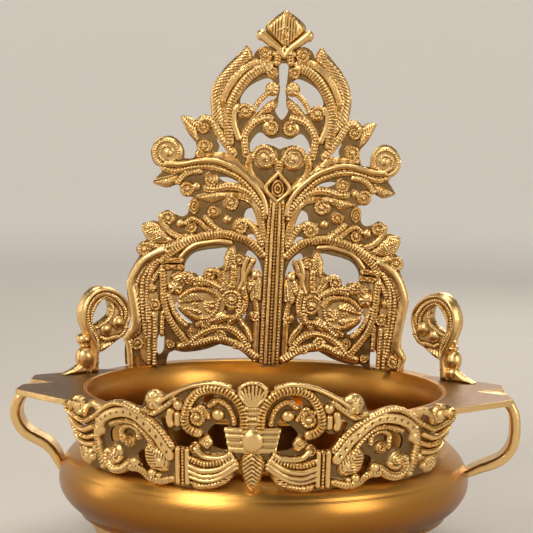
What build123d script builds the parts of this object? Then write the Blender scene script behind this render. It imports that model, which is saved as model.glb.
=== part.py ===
from build123d import *

import os
from math import cos, degrees, radians, sin, tan

# Brass urli bowl with a pierced back panel, a pierced front apron, two scroll finials,
# two strap handles under forked ears, and three scrolled feet. Millimetres, +Z up.
# The bowl's axis is the Z axis, the front is -Y and the ground is Z = 0.

# Driving dimensions
RIM_Z = 140.0
LIP_R = 165.0
LIP_FLAT_R = 152.5
LIP_ROUND = 1.8
LIP_T = 3.2
WALL = 3.0
BELLY_R = 173.4
BELLY_Z = 65.0
NECK_R = 147.4
NECK_Z = 106.0
CREASE_R = 154.0
CREASE_Z = 37.0
DISH_Z = 22.0
DISH_FLAT_R = 36.0
DISH_MID = (100.0, 26.4)
GROOVE_R = 0.7
GROOVES_AT = [(169.6, 78.4), (CREASE_R - 4.0, CREASE_Z - 2.0)]

EAR_T = 5.0
EAR_ROOT = (132.0, 90.0)
EAR_INNER_X = 150.0
EAR_INNER_Y = 60.0
EAR_TIP_X = 207.0
EAR_TIP_Y = 38.0
NOTCH_APEX_X = 181.0
NOTCH_HALF = 13.0

STRAP_W = 27.0

PANEL_Y = 106.0
PANEL_T = 7.0
PANEL_LEAN = 2.0
PANEL_FOOT_S = 119.0
PANEL_FOOT_SPARE = 40.0

APRON_T = 5.0
APRON_R = 166.6
APRON_LEAN = 3.4
APRON_ARC = 46.7
APRON_END = 56.0
APRON_LOW = -56.0
APRON_HIGH = 32.0
APRON_DRAWN_R = 170.0
APRON_REACH = 18.0

FINIAL_T = 12.0
FINIAL_AT = (158.2, 57.0)
FINIAL_TURN = 40.0
FINIAL_STUD_ALONG = 4.0

FOOT_TURN = 60.0
FOOT_W = 24.0

STUD_R = 2.0
STUD_DEPTH = 8.0
NUT_R = 4.04
NUT_T = 3.2
WASHER_R = 4.5
WASHER_T = 0.8
STUD_SPARE = 2.0
PILLAR_R = 4.0
PILLAR_LENGTH = 20.0
NECK_SEAT_R = 146.5
NUT_SEAT_R = 142.6
WASHER_REACH = 2.6
APRON_STUD_END_R = 136.0
APRON_STUD_Z = 110.0
APRON_STUD_TURNS = (-40.5, -17.0, 17.0, 40.5)

# Where the studs under the rim stand, worked out from what they hold
PANEL_SHIFT = -2.0
PANEL_STUDS_AT = [
    (PANEL_SHIFT + side * PANEL_FOOT_S * cos(radians(PANEL_LEAN)), PANEL_Y)
    for side in (-1, 1)
]
FINIAL_ALONG = (cos(radians(FINIAL_TURN)), sin(radians(FINIAL_TURN)))
FINIAL_STUDS_AT = [
    (
        side * (FINIAL_AT[0] - FINIAL_STUD_ALONG * FINIAL_ALONG[0]),
        FINIAL_AT[1] + FINIAL_STUD_ALONG * FINIAL_ALONG[1],
    )
    for side in (-1, 1)
]

os.makedirs("parts", exist_ok=True)

# Outside of the wall, from the crease ring over the belly and the neck to the lip
BELLY_POINTS = [
    (CREASE_R + 1.5, CREASE_Z + 1.0),
    (165.6, 46.5),
    (171.8, 56.0),
    (BELLY_R, BELLY_Z),
    (171.8, 74.0),
    (166.6, 83.6),
    (158.6, 91.6),
    (151.2, 97.6),
    (NECK_R, NECK_Z),
    (146.9, 117.0),
    (148.6, 128.0),
    (LIP_FLAT_R, RIM_Z - LIP_T),
]
INNER_STEPS = 24


def inside(curve, share):
    """A point one wall thickness inside the curve, level with a share of its length."""
    run = curve % share
    at = curve @ share
    return (at.X - WALL * run.Y, at.Y + WALL * run.X)


def outer_stretches():
    """The outer half section, from the axis under the dish round to the top of the lip."""
    flat = Line((0, DISH_Z), (DISH_FLAT_R, DISH_Z))
    dish = ThreePointArc(flat @ 1, DISH_MID, (CREASE_R, CREASE_Z - 1))
    Line(dish @ 1, BELLY_POINTS[0])
    outside = Spline(*BELLY_POINTS)
    under_lip = Line(outside @ 1, (LIP_R, RIM_Z - LIP_T))
    rim = Line(under_lip @ 1, (LIP_R, RIM_Z))
    return outside, rim @ 1


def inner_stretches(outside, top):
    """The inside of the wall, one thickness in, from the top of the lip down to the axis."""
    inner_points = [inside(outside, step / INNER_STEPS) for step in range(1, INNER_STEPS)]
    flat = Line(top, (LIP_FLAT_R - LIP_ROUND, RIM_Z))
    inner = Spline(flat @ 1, *reversed(inner_points))
    dish_middle = (DISH_MID[0], DISH_MID[1] + WALL)
    dish = ThreePointArc(inner @ 1, dish_middle, (DISH_FLAT_R, DISH_Z + WALL))
    floor = Line(dish @ 1, (0, DISH_Z + WALL))
    Line(floor @ 1, (0, DISH_Z))


def ear_outline(side):
    """The forked ear seen from above. It leaves the lip straight and splits at the notch."""
    points = [
        (EAR_INNER_X, -EAR_INNER_Y),
        (EAR_ROOT[0], -EAR_ROOT[1]),
        (EAR_TIP_X - 2.0, -EAR_TIP_Y - 1.5),
        (EAR_TIP_X, -EAR_TIP_Y + 4.0),
        (EAR_TIP_X - 2.0, -NOTCH_HALF),
        (NOTCH_APEX_X, 0.0),
        (EAR_TIP_X - 4.0, NOTCH_HALF + 1.5),
        (EAR_TIP_X - 4.0, EAR_TIP_Y),
        (EAR_ROOT[0], EAR_ROOT[1]),
        (EAR_INNER_X, EAR_INNER_Y),
    ]
    return [(side * x, y) for x, y in points]


def spoke(turn, reach, height):
    """A plane facing out from the axis, turned from the front, reach away from the axis."""
    out = (sin(radians(turn)), -cos(radians(turn)))
    return Plane(
        origin=(reach * out[0], reach * out[1], height),
        x_dir=(-out[1], out[0], 0),
        z_dir=(out[0], out[1], 0),
    )


with BuildPart() as bowl_form:
    with BuildSketch(Plane.XZ):
        with BuildLine():
            outside, top = outer_stretches()
            Polyline(top, (0, RIM_Z), (0, DISH_Z))
        make_face()
    revolve(axis=Axis.Z)

with BuildPart() as bowl:
    with BuildSketch(Plane.XZ):
        with BuildLine():
            inner_stretches(*outer_stretches())
        make_face()
    revolve(axis=Axis.Z)
    with BuildSketch(Plane.XY.offset(RIM_Z - EAR_T)):
        for side in (-1, 1):
            with BuildLine():
                Polyline(*ear_outline(side), close=True)
            make_face()
        Circle(LIP_FLAT_R, mode=Mode.SUBTRACT)
    extrude(amount=EAR_T)
    with BuildSketch(Plane.XZ):
        with Locations(*GROOVES_AT):
            Circle(GROOVE_R)
    revolve(axis=Axis.Z, mode=Mode.SUBTRACT)
    for turn in APRON_STUD_TURNS:
        with BuildSketch(spoke(turn, 0.0, APRON_STUD_Z)):
            Circle(STUD_R)
        extrude(amount=LIP_R, mode=Mode.SUBTRACT)
    with BuildSketch(Plane.XY.offset(RIM_Z - 2 * LIP_T)):
        with Locations(*PANEL_STUDS_AT, *FINIAL_STUDS_AT):
            Circle(STUD_R)
    extrude(amount=3 * LIP_T, mode=Mode.SUBTRACT)
bowl.part.label = "bowl"
export_step(bowl.part, "parts/bowl.step")


# Strap handles: the centreline runs from the tongue in the ear's notch down to the belly,
# with half the strap's thickness at each point
STRAP_LEFT = [
    (184.0, 138.2, 1.6),
    (192.0, 137.2, 2.6),
    (200.0, 134.9, 4.2),
    (206.6, 130.0, 4.7),
    (211.0, 122.0, 4.75),
    (211.8, 113.0, 4.75),
    (208.6, 104.0, 4.75),
    (202.6, 97.2, 4.75),
    (194.0, 92.4, 4.75),
    (186.5, 88.4, 4.75),
    (180.0, 82.4, 4.5),
    (174.6, 73.0, 3.8),
    (170.0, 64.0, 3.2),
]
STRAP_RIGHT = [
    (184.0, 138.2, 1.6),
    (192.0, 137.6, 2.4),
    (200.0, 135.4, 4.0),
    (206.6, 130.6, 4.7),
    (210.8, 122.0, 4.75),
    (211.8, 113.0, 4.75),
    (211.6, 104.0, 4.75),
    (209.6, 95.0, 4.75),
    (204.0, 86.4, 4.75),
    (195.0, 80.6, 4.75),
    (183.5, 76.2, 4.4),
    (172.0, 71.0, 3.8),
    (160.0, 66.0, 3.4),
]


def strap_section(stations, side):
    """The strap seen from the front: two splines half a thickness off the centreline."""
    spine = Spline(*[(side * x, z) for x, z, half in stations], mode=Mode.PRIVATE)
    edges = {}
    for hand in (-1, 1):
        points = []
        for index, (x, z, half) in enumerate(stations):
            run = spine.tangent_at(index / (len(stations) - 1))
            points.append((side * x - hand * half * run.Y, z + hand * half * run.X))
        edges[hand] = points
    first = Spline(*edges[-1])
    second = Spline(*edges[1])
    Line(first @ 0, second @ 0)
    Line(first @ 1, second @ 1)


def build_strap(stations, side):
    """One strap, tongued into the ear's notch and fitted to the belly."""
    with BuildPart() as strap:
        with BuildSketch(Plane.XZ):
            with BuildLine():
                strap_section(stations, side)
            make_face()
        extrude(amount=STRAP_W / 2, both=True)
        with BuildSketch(Plane.XY.offset(RIM_Z - EAR_T)):
            with BuildLine():
                Polyline(*ear_outline(side), close=True)
            make_face()
        extrude(amount=2 * EAR_T, mode=Mode.SUBTRACT)
        add(bowl_form.part, mode=Mode.SUBTRACT)
    return strap


handle_left = build_strap(STRAP_LEFT, -1)
handle_left.part.label = "handle_left"
export_step(handle_left.part, "parts/handle_left.step")

handle_right = build_strap(STRAP_RIGHT, 1)
handle_right.part.label = "handle_right"
export_step(handle_right.part, "parts/handle_right.step")

# Back panel. Outlines are drawn on the left half as (distance from the trunk's middle line,
# height above the rim). Each stretch is a smooth curve between two cusps.
PANEL_EDGE = [
    [(0, 3), (14, 5), (28, 15), (45, 19)],
    [(45, 19), (60, 13), (76, 10), (86, 11)],
    [(86, 11), (91, 8), (93, 0), (93, -12)],
    [(93, -12), (129, -12)],
    [(129, -12), (131, 4), (131, 21)],
    [(131, 21), (127, 28), (126, 38), (129, 50), (131.5, 64), (130, 78), (122, 94), (121.5, 95.5)],
    [(121.5, 95.5), (124.5, 100), (122, 106), (116, 109.5)],
    [(116, 109.5), (114, 115), (120.5, 123.5)],
    [(120.5, 123.5), (111, 127), (104, 126)],
    [(104, 126), (104, 133), (98, 137.5), (90.5, 134)],
    [(90.5, 134), (84.5, 132.5), (79.5, 136), (78.5, 143), (75, 150)],
    [(75, 150), (81, 151), (86.5, 155), (88.5, 162)],
    [(88.5, 162), (100, 157.5), (112.5, 162)],
    [(112.5, 162), (106, 170), (101, 174.5)],
    [(101, 174.5), (111, 178), (115, 189), (110, 200), (99, 204), (90, 200), (85.5, 192), (85, 184.5)],
    [(85, 184.5), (78, 185), (74, 190), (75, 199)],
    [(75, 199), (83, 208), (89.5, 222)],
    [(89.5, 222), (81, 222), (75.5, 218.5)],
    [(75.5, 218.5), (70, 224), (62, 221)],
    [(62, 221), (63.5, 243), (55, 263), (44, 276), (33.5, 287.5)],
    [(33.5, 287.5), (29, 282), (28, 277)],
    [(28, 277), (24.5, 284), (18, 287.5), (13, 287)],
    [(13, 287), (20, 291.5), (25, 295.5), (21.5, 299.5), (17, 299)],
    [(17, 299), (17.5, 306), (9, 314), (0, 320)],
]
PANEL_OPENINGS = [
    [(11, 254), (5.5, 249), (4.5, 244), (12, 238), (17, 231), (29, 230), (31, 237), (26, 246), (19, 253)],
    [(53, 209), (48.5, 202), (41, 191), (45, 188.5), (55, 190), (54, 197), (56.5, 203)],
    [(53, 169), (46, 169.6), (38, 167), (30, 162), (38, 164), (46, 165)],
    [(27, 141.5), (20, 143), (14.5, 134), (13, 126), (19, 129), (25, 129), (29, 134)],
    [(11, 111), (14, 117), (22, 120), (26, 117), (19, 112), (13, 106)],
    [(11, 82), (12, 92), (17, 101), (24, 105), (26.5, 96), (24, 88), (19, 86)],
    [
        (80, 90),
        (75, 98),
        (68, 102),
        (54, 105),
        (42, 105.5),
        (44, 93),
        (49, 88),
        (60, 84.5),
        (66, 78),
        (70, 82),
        (79, 82),
    ],
    [(91, 60), (85, 60), (83.5, 55), (84.5, 49), (78, 42.5), (71, 37), (78, 37.5), (85, 43), (90, 52)],
    [(25, 67), (22, 60), (23, 48), (27, 41), (27, 52)],
    [(96, 12), (96, 24), (98.5, 31), (101, 24), (103, 15), (102, 9), (99, 7)],
]
PANEL_HEART = [
    (0, 197),
    (7, 200),
    (14, 200.5),
    (20, 196),
    (25, 191),
    (27, 199),
    (24, 206),
    (18, 211),
    (9, 206),
    (0, 208),
]
RIGHT_NARROWING = 0.0006
RIGHT_TILT = 0.0003
TILT_LEVEL = 140.0


def cast_by_hand(point, side):
    """A drawn point as cast: the right half is a little narrower and climbs outwards."""
    across, up = point
    if side < 0:
        return (-across, up)
    climb = RIGHT_TILT * across * (up - TILT_LEVEL)
    return (across - RIGHT_NARROWING * across**2, up + climb)


panel_plane = Plane(
    origin=(PANEL_SHIFT, PANEL_Y, RIM_Z),
    x_dir=(cos(radians(PANEL_LEAN)), 0, -sin(radians(PANEL_LEAN))),
    z_dir=(0, -1, 0),
)
with BuildPart() as back_panel:
    with BuildSketch(panel_plane):
        with BuildLine():
            for side in (-1, 1):
                for stretch in PANEL_EDGE:
                    Spline(*[cast_by_hand(point, side) for point in stretch])
        make_face()
        for side in (-1, 1):
            for opening in PANEL_OPENINGS:
                with BuildLine():
                    Spline(*[cast_by_hand(point, side) for point in opening], periodic=True)
                make_face(mode=Mode.SUBTRACT)
        with BuildLine():
            for side in (-1, 1):
                Spline(*[cast_by_hand(point, side) for point in PANEL_HEART])
        make_face(mode=Mode.SUBTRACT)
    extrude(amount=PANEL_T / 2, both=True)
    with BuildSketch(Plane.XY.offset(RIM_Z)):
        Rectangle(4 * LIP_R, 4 * LIP_R)
    extrude(amount=-PANEL_FOOT_SPARE, mode=Mode.SUBTRACT)
    with BuildSketch(Plane.XY.offset(RIM_Z)):
        with Locations(*PANEL_STUDS_AT):
            Circle(STUD_R)
    extrude(amount=STUD_DEPTH, mode=Mode.SUBTRACT)
back_panel.part.label = "back_panel"
export_step(back_panel.part, "parts/back_panel.step")


# Front apron. Outlines are (distance round the rim from the middle, height from the rim).
# The strip follows the lip and then runs straight on along the ear's front edge.
APRON_MIDDLE = {
    "across": 0.0,
    "edge": [
        [(0, -52), (5, -47), (8, -38), (9.5, -29)],
        [(9.5, -29), (13, -40), (19, -47)],
        [(19, -47), (19, 25)],
        [(19, 25), (15, 22)],
        [(15, 22), (13, 28), (7, 31), (0, 31.5)],
    ],
    "openings": [],
}
APRON_SEGMENTS = [
    {
        "across": 38.0,
        "edge": [
            [(17, -45.5), (24, -50), (34, -53), (48, -53.5), (60, -54)],
            [(60, -54), (60, 22.5)],
            [(60, 22.5), (50, 27), (40, 29), (30, 28.5), (17, 24)],
            [(17, 24), (17, -45.5)],
        ],
        "openings": [
            [(33, -2), (22, 2.5), (18.5, -1), (20.5, -8), (19, -17), (21, -23), (30, -21), (34, -10)],
            [(57, -10.5), (47, -11), (43, -14), (45, -20), (53, -22), (57.8, -21)],
        ],
    },
    {
        "across": 78.0,
        "edge": [
            [(58, -54), (68, -53.5), (76, -50), (84, -54.5), (98, -48)],
            [(98, -48), (98, 7)],
            [(98, 7), (90.5, 6)],
            [(90.5, 6), (90.5, 15), (84, 21.5), (75, 21), (68, 17.5)],
            [(68, 17.5), (63, 21), (58, 23.5)],
            [(58, 23.5), (58, -54)],
        ],
        "openings": [
            [(77, 0), (68, -6), (60, -10), (60, -22), (68, -18), (74, -9)],
            [(95, -31), (91, -28), (86, -33), (85, -40), (88, -43), (93, -38)],
        ],
    },
    {
        "across": 118.0,
        "edge": [
            [(96, -47), (108, -45), (116, -49), (126, -54), (139, -52)],
            [(139, -52), (139, -1)],
            [(139, -1), (130, 4.5), (118, 8.5), (107, 8.5), (96, 6.5)],
            [(96, 6.5), (96, -47)],
        ],
        "openings": [
            [(128, -17), (120, -11.5), (111, -11), (109, -15), (114, -22), (120, -24), (127, -25)],
        ],
    },
]
APRON_END_SEGMENT = {
    "across": 0.0,
    "edge": [
        [(-2, -53), (10, -49), (19, -51), (30, -53), (38, -50)],
        [(38, -50), (41, -41), (50, -35), (55, -27), (56, -14)],
        [(56, -14), (54, -5), (44, 2.5), (30, 4), (20, 1)],
        [(20, 1), (9, -5), (-2, -1)],
        [(-2, -1), (-2, -53)],
    ],
    "openings": [
        [(6, -14), (14, -8.5), (27, -10), (29, -16), (16, -20), (8, -21)],
    ],
}


def apron_path():
    """The plan line of the apron's inner face, from the right end round to the left end."""
    turn = radians(APRON_ARC)
    start = Vector(APRON_R * sin(turn), -APRON_R * cos(turn), RIM_Z)
    run = Vector(cos(turn), sin(turn), 0) * APRON_END
    middle = Vector(0, -APRON_R, RIM_Z)
    left_start = Vector(-start.X, start.Y, RIM_Z)
    Line(start + run, start)
    ThreePointArc(start, middle, left_start)
    Line(left_start, left_start + Vector(-run.X, run.Y, 0))


def drawn(points, side, across):
    """Points of an apron outline on a segment's own plane, for the right or the left side."""
    return [(side * (along - across), height) for along, height in points]


# One entry for each pierced segment: its plane, its side and its drawing
apron_layout = [(spoke(0.0, APRON_R - APRON_T, RIM_Z), (-1, 1), APRON_MIDDLE)]
for side in (-1, 1):
    for segment in APRON_SEGMENTS:
        turn = side * degrees(segment["across"] / APRON_DRAWN_R)
        apron_layout.append((spoke(turn, APRON_R - APRON_T, RIM_Z), (side,), segment))
    apron_layout.append((spoke(side * APRON_ARC, APRON_R - APRON_T, RIM_Z), (side,), APRON_END_SEGMENT))

with BuildPart() as apron_cutter:
    for face, sides, segment in apron_layout:
        with BuildSketch(face):
            with BuildLine():
                for side in sides:
                    for stretch in segment["edge"]:
                        Spline(*drawn(stretch, side, segment["across"]))
            make_face()
            for opening in segment["openings"]:
                with BuildLine():
                    Spline(*drawn(opening, sides[0], segment["across"]), periodic=True)
                make_face(mode=Mode.SUBTRACT)
        extrude(amount=APRON_REACH)

strip_lean = tan(radians(APRON_LEAN))
strip_section = [
    (APRON_LOW * strip_lean, APRON_LOW),
    (APRON_LOW * strip_lean + APRON_T, APRON_LOW),
    (APRON_HIGH * strip_lean + APRON_T, APRON_HIGH),
    (APRON_HIGH * strip_lean, APRON_HIGH),
]
with BuildPart() as front_apron:
    with BuildLine() as path:
        apron_path()
    out = (sin(radians(APRON_ARC)), -cos(radians(APRON_ARC)), 0)
    with BuildSketch(Plane(origin=path.line @ 0, x_dir=out, z_dir=path.line % 0)):
        with BuildLine():
            Polyline(*strip_section, close=True)
        make_face()
    sweep()
    add(apron_cutter.part, mode=Mode.INTERSECT)
    add(bowl_form.part, mode=Mode.SUBTRACT)
    add(bowl.part, mode=Mode.SUBTRACT)
front_apron.part.label = "front_apron"
export_step(front_apron.part, "parts/front_apron.step")

# Rim finials: a scroll drawn as (distance in along the rim from its outer side, height)
FINIAL_EDGE = [
    [(-1, 0), (-1, 6), (0, 21), (-6, 35)],
    [
        (-6, 35),
        (-11, 48),
        (-10.5, 59),
        (-5, 69),
        (3, 75),
        (12, 76),
        (22, 73.5),
        (31, 67.5),
        (38, 60),
        (41, 50),
    ],
    [(41, 50), (40, 42), (36, 34), (28, 27)],
    [(28, 27), (23.5, 28), (20.5, 26.5), (19, 24)],
    [(19, 24), (12, 21), (6.5, 18)],
    [(6.5, 18), (9, 10), (8, 0)],
    [(8, 0), (-1, 0)],
]
FINIAL_LOOP = [(1.5, 42), (2, 50), (6, 58), (12, 64), (17, 64), (19, 58), (19, 52), (15, 48), (8, 44)]
FINIAL_BALLS = [(-5.0, 14.0, 8.5), (-6.0, 31.0, 6.0)]
FINIAL_TOE = [(-28, 0.6), (-18, 7), (-10, 8)]
FINIAL_TOE_ROOT = [(0, 8), (0, 0), (-28, 0)]


# The right finial's own plane, standing on the lip, runs in from its outer side
finial_plane = Plane(
    origin=(FINIAL_AT[0], FINIAL_AT[1], RIM_Z),
    x_dir=(-FINIAL_ALONG[0], FINIAL_ALONG[1], 0),
    z_dir=(FINIAL_ALONG[1], FINIAL_ALONG[0], 0),
)
with BuildPart() as finial_right:
    with BuildSketch(finial_plane):
        with BuildLine():
            for stretch in FINIAL_EDGE:
                Spline(*stretch)
        make_face()
        with BuildLine():
            Spline(*FINIAL_LOOP, periodic=True)
        make_face(mode=Mode.SUBTRACT)
    extrude(amount=FINIAL_T / 2, both=True)
    for along, height, radius in FINIAL_BALLS:
        with Locations(finial_plane.from_local_coords((along, height, 0))):
            Sphere(radius)
    with BuildSketch(finial_plane):
        with BuildLine():
            toe = Spline(*FINIAL_TOE)
            Polyline(toe @ 1, *FINIAL_TOE_ROOT, toe @ 0)
        make_face()
    extrude(amount=FINIAL_T / 3, both=True)
    with BuildSketch(Plane.XY.offset(RIM_Z)):
        with Locations(FINIAL_STUDS_AT[1]):
            Circle(STUD_R)
    extrude(amount=STUD_DEPTH, mode=Mode.SUBTRACT)
finial_right.part.label = "finial_right"
export_step(finial_right.part, "parts/finial_right.step")

with BuildPart() as finial_left:
    mirror(finial_right.part, about=Plane.YZ)
finial_left.part.label = "finial_left"
export_step(finial_left.part, "parts/finial_left.step")

# Feet: a scrolled leaf with a curled toe, drawn as (distance from the axis, height)
FOOT_EDGE = [
    [(151, 40), (150, 29), (145.5, 20), (145.5, 14), (150, 11), (155, 13)],
    [(155, 13), (160.5, 7.5), (154, 0)],
    [(154, 0), (140, 0)],
    [(140, 0), (133, 9), (129, 21), (124, 40)],
    [(124, 40), (151, 40)],
]


def build_foot(turn):
    """One foot at this turn from the front, fitted under the dish of the bowl."""
    radial = Plane(
        origin=(0, 0, 0),
        x_dir=(sin(radians(turn)), -cos(radians(turn)), 0),
        z_dir=(-cos(radians(turn)), -sin(radians(turn)), 0),
    )
    with BuildPart() as foot:
        with BuildSketch(radial):
            with BuildLine():
                for stretch in FOOT_EDGE:
                    Spline(*stretch)
            make_face()
        extrude(amount=FOOT_W / 2, both=True)
        add(bowl_form.part, mode=Mode.SUBTRACT)
    return foot


foot_left = build_foot(-FOOT_TURN)
foot_left.part.label = "foot_left"
export_step(foot_left.part, "parts/foot_left.step")

foot_right = build_foot(FOOT_TURN)
foot_right.part.label = "foot_right"
export_step(foot_right.part, "parts/foot_right.step")

foot_back = build_foot(180.0)
foot_back.part.label = "foot_back"
export_step(foot_back.part, "parts/foot_back.step")


def build_ring(places, height, radius, bore, thickness):
    """Washers hanging down from this height at these places."""
    with BuildPart() as rings:
        with BuildSketch(Plane.XY.offset(height)):
            with Locations(*places):
                Circle(radius)
                Circle(bore, mode=Mode.SUBTRACT)
        extrude(amount=-thickness)
    return rings


def build_nuts(places, height):
    """Hexagon nuts hanging down from this height at these places."""
    with BuildPart() as nuts:
        with BuildSketch(Plane.XY.offset(height)):
            with Locations(*places):
                RegularPolygon(NUT_R, 6)
                Circle(STUD_R, mode=Mode.SUBTRACT)
        extrude(amount=-NUT_T)
    return nuts


def build_studs(places, seat):
    """Studs from their blind holes down past their seat, a washer and a nut."""
    bottom = seat - WASHER_T - NUT_T - STUD_SPARE
    with BuildPart() as studs:
        with BuildSketch(Plane.XY.offset(bottom)):
            with Locations(*places):
                Circle(STUD_R)
        extrude(amount=RIM_Z + STUD_DEPTH - bottom)
    return studs


UNDER_LIP = RIM_Z - LIP_T
UNDER_EAR = RIM_Z - EAR_T

panel_studs = build_studs(PANEL_STUDS_AT, UNDER_LIP)
panel_studs.part.label = "panel_studs"
export_step(panel_studs.part, "parts/panel_studs.step")

panel_washers = build_ring(PANEL_STUDS_AT, UNDER_LIP, WASHER_R, STUD_R, WASHER_T)
panel_washers.part.label = "panel_washers"
export_step(panel_washers.part, "parts/panel_washers.step")

panel_nuts = build_nuts(PANEL_STUDS_AT, UNDER_LIP - WASHER_T)
panel_nuts.part.label = "panel_nuts"
export_step(panel_nuts.part, "parts/panel_nuts.step")

finial_studs = build_studs(FINIAL_STUDS_AT, UNDER_EAR)
finial_studs.part.label = "finial_studs"
export_step(finial_studs.part, "parts/finial_studs.step")

finial_washers = build_ring(FINIAL_STUDS_AT, UNDER_EAR, WASHER_R, STUD_R, WASHER_T)
finial_washers.part.label = "finial_washers"
export_step(finial_washers.part, "parts/finial_washers.step")

finial_nuts = build_nuts(FINIAL_STUDS_AT, UNDER_EAR - WASHER_T)
finial_nuts.part.label = "finial_nuts"
export_step(finial_nuts.part, "parts/finial_nuts.step")

# Apron studs: a pillar from the neck to the apron, with a thin end through the wall
with BuildPart() as apron_studs:
    for turn in APRON_STUD_TURNS:
        with BuildSketch(spoke(turn, NECK_SEAT_R, APRON_STUD_Z)):
            Circle(PILLAR_R)
        extrude(amount=PILLAR_LENGTH)
    add(bowl_form.part, mode=Mode.SUBTRACT)
    add(front_apron.part, mode=Mode.SUBTRACT)
    for turn in APRON_STUD_TURNS:
        with BuildSketch(spoke(turn, APRON_STUD_END_R, APRON_STUD_Z)):
            Circle(STUD_R)
        extrude(amount=NECK_SEAT_R + WALL - APRON_STUD_END_R)
apron_studs.part.label = "apron_studs"
export_step(apron_studs.part, "parts/apron_studs.step")

with BuildPart() as apron_nuts:
    for turn in APRON_STUD_TURNS:
        with BuildSketch(spoke(turn, NUT_SEAT_R, APRON_STUD_Z)):
            RegularPolygon(NUT_R, 6)
            Circle(STUD_R, mode=Mode.SUBTRACT)
        extrude(amount=-NUT_T)
apron_nuts.part.label = "apron_nuts"
export_step(apron_nuts.part, "parts/apron_nuts.step")

with BuildPart() as apron_washers:
    for turn in APRON_STUD_TURNS:
        with BuildSketch(spoke(turn, NUT_SEAT_R, APRON_STUD_Z)):
            Circle(WASHER_R)
            Circle(STUD_R, mode=Mode.SUBTRACT)
        extrude(amount=WASHER_REACH)
    add(bowl.part, mode=Mode.SUBTRACT)
apron_washers.part.label = "apron_washers"
export_step(apron_washers.part, "parts/apron_washers.step")
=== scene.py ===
import math

import bmesh
import bpy
import numpy as np
from mathutils import Matrix, Vector


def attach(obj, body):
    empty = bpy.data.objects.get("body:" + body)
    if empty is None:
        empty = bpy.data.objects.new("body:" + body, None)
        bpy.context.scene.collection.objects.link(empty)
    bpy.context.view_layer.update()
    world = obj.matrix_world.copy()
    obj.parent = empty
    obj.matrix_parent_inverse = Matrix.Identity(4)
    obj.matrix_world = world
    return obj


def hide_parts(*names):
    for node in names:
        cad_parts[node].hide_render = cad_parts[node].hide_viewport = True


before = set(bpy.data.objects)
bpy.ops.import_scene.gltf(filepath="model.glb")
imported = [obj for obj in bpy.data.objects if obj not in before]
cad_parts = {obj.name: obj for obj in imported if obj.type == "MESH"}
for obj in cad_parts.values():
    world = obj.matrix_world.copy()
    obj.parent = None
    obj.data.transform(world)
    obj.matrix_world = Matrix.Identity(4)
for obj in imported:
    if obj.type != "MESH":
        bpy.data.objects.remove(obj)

# Brass urli bowl: a spun bowl with forked ears and strap handles, a pierced cast panel
# behind, a pierced cast apron in front, two scroll finials and three scrolled feet.
# Drawn sizes are millimetres in the frame of the design; the meshes are metres.

MM = 0.001
RIM_Z = 140.0
LIP_FLAT_R = 152.5
LIP_T = 3.2
WALL = 3.0
TURNS = 288

PANEL_Y = 106.0
PANEL_SHIFT = -2.0
PANEL_LEAN = math.radians(2.0)
PANEL_GRID = 0.62
PANEL_FRONT = -0.5
PANEL_BACK = -3.2
PANEL_CROWN = 1.2
PANEL_CROWN_REACH = 90.0
STRAND_FULLNESS = 1.22
STRAND_RISE = 1.15
PITCH_SHARE = 0.9
FEATHER_SLANT = 0.9

APRON_R = 169.6
APRON_LEAN = math.radians(3.4)
APRON_TURN = math.radians(46.7)
APRON_DRAWN_R = 170.0
APRON_GRID = 0.6
APRON_BACK = -3.0
APRON_FULLNESS = 1.15
APRON_RISE = 1.3

FINIAL_AT = (158.2, 57.0)
FINIAL_TURN = math.radians(40.0)
FINIAL_HALF = 6.0
FINIAL_GRID = 0.4
FINIAL_FACE = 5.0
FINIAL_ROUND = 2.6

# Unevenness of a casting: height and wavelength, on the face and on the back
FACE_FINE = (0.08, 1.1)
FACE_BROAD = (0.16, 5.0)
BACK_BROAD = (0.15, 2.5)
BACK_SOFT_EDGE = (0.8, 0.9)
EDGE_DROP = 0.15

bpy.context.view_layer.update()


# ---------------------------------------------------------------- drawing in relief

class Field:
    """A height map of a casting's face with the reach of its metal, drawn stroke by stroke."""

    def __init__(self, low, high, step):
        self.step = step
        self.across = np.arange(low[0], high[0] + step, step)
        self.up = np.arange(low[1], high[1] + step, step)
        shape = (len(self.up), len(self.across))
        self.metal = np.full(shape, -9.0)
        self.high = np.zeros(shape)

    def window(self, points, reach):
        """The part of the grid within reach of the points, and its coordinates."""
        low = points.min(axis=0) - reach
        high = points.max(axis=0) + reach
        cols = slice(*np.searchsorted(self.across, (low[0], high[0])))
        rows = slice(*np.searchsorted(self.up, (low[1], high[1])))
        grid = np.meshgrid(self.across[cols], self.up[rows])
        return (rows, cols), grid[0], grid[1]

    def lift(self, where, height, metal):
        """Raises the face to a height where it is lower, with metal under it."""
        inside = metal > -self.step
        height = np.where(inside, height, 0.0)
        self.high[where] = np.maximum(self.high[where], height)
        self.metal[where] = np.maximum(self.metal[where], metal)


def smooth(points, spacing=1.2):
    """A round curve through the points."""
    points = np.asarray(points, float)
    if len(points) < 3:
        return points
    padded = np.vstack([2 * points[0] - points[1], points, 2 * points[-1] - points[-2]])
    out = []
    for k in range(len(points) - 1):
        a, b, c, d = padded[k : k + 4]
        count = max(2, int(np.linalg.norm(c - b) / spacing))
        u = np.linspace(0, 1, count, endpoint=False)[:, None]
        bend = (2 * b) + (c - a) * u + (2 * a - 5 * b + 4 * c - d) * u**2
        out.append(0.5 * (bend + (3 * b - a - 3 * c + d) * u**3))
    out.append(points[-1:])
    return np.vstack(out)


def closed(points, spacing=1.2):
    """A round closed curve through the points."""
    points = np.asarray(points, float)
    count = len(points)
    ring = np.vstack([points[-2:], points, points[:3]])
    curve = smooth(ring, spacing)
    start = np.argmin(np.linalg.norm(curve - points[0], axis=1))
    tail = np.linalg.norm(curve - points[0], axis=1)
    tail[: start + count] = 1e9
    return curve[start : np.argmin(tail)]


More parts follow.
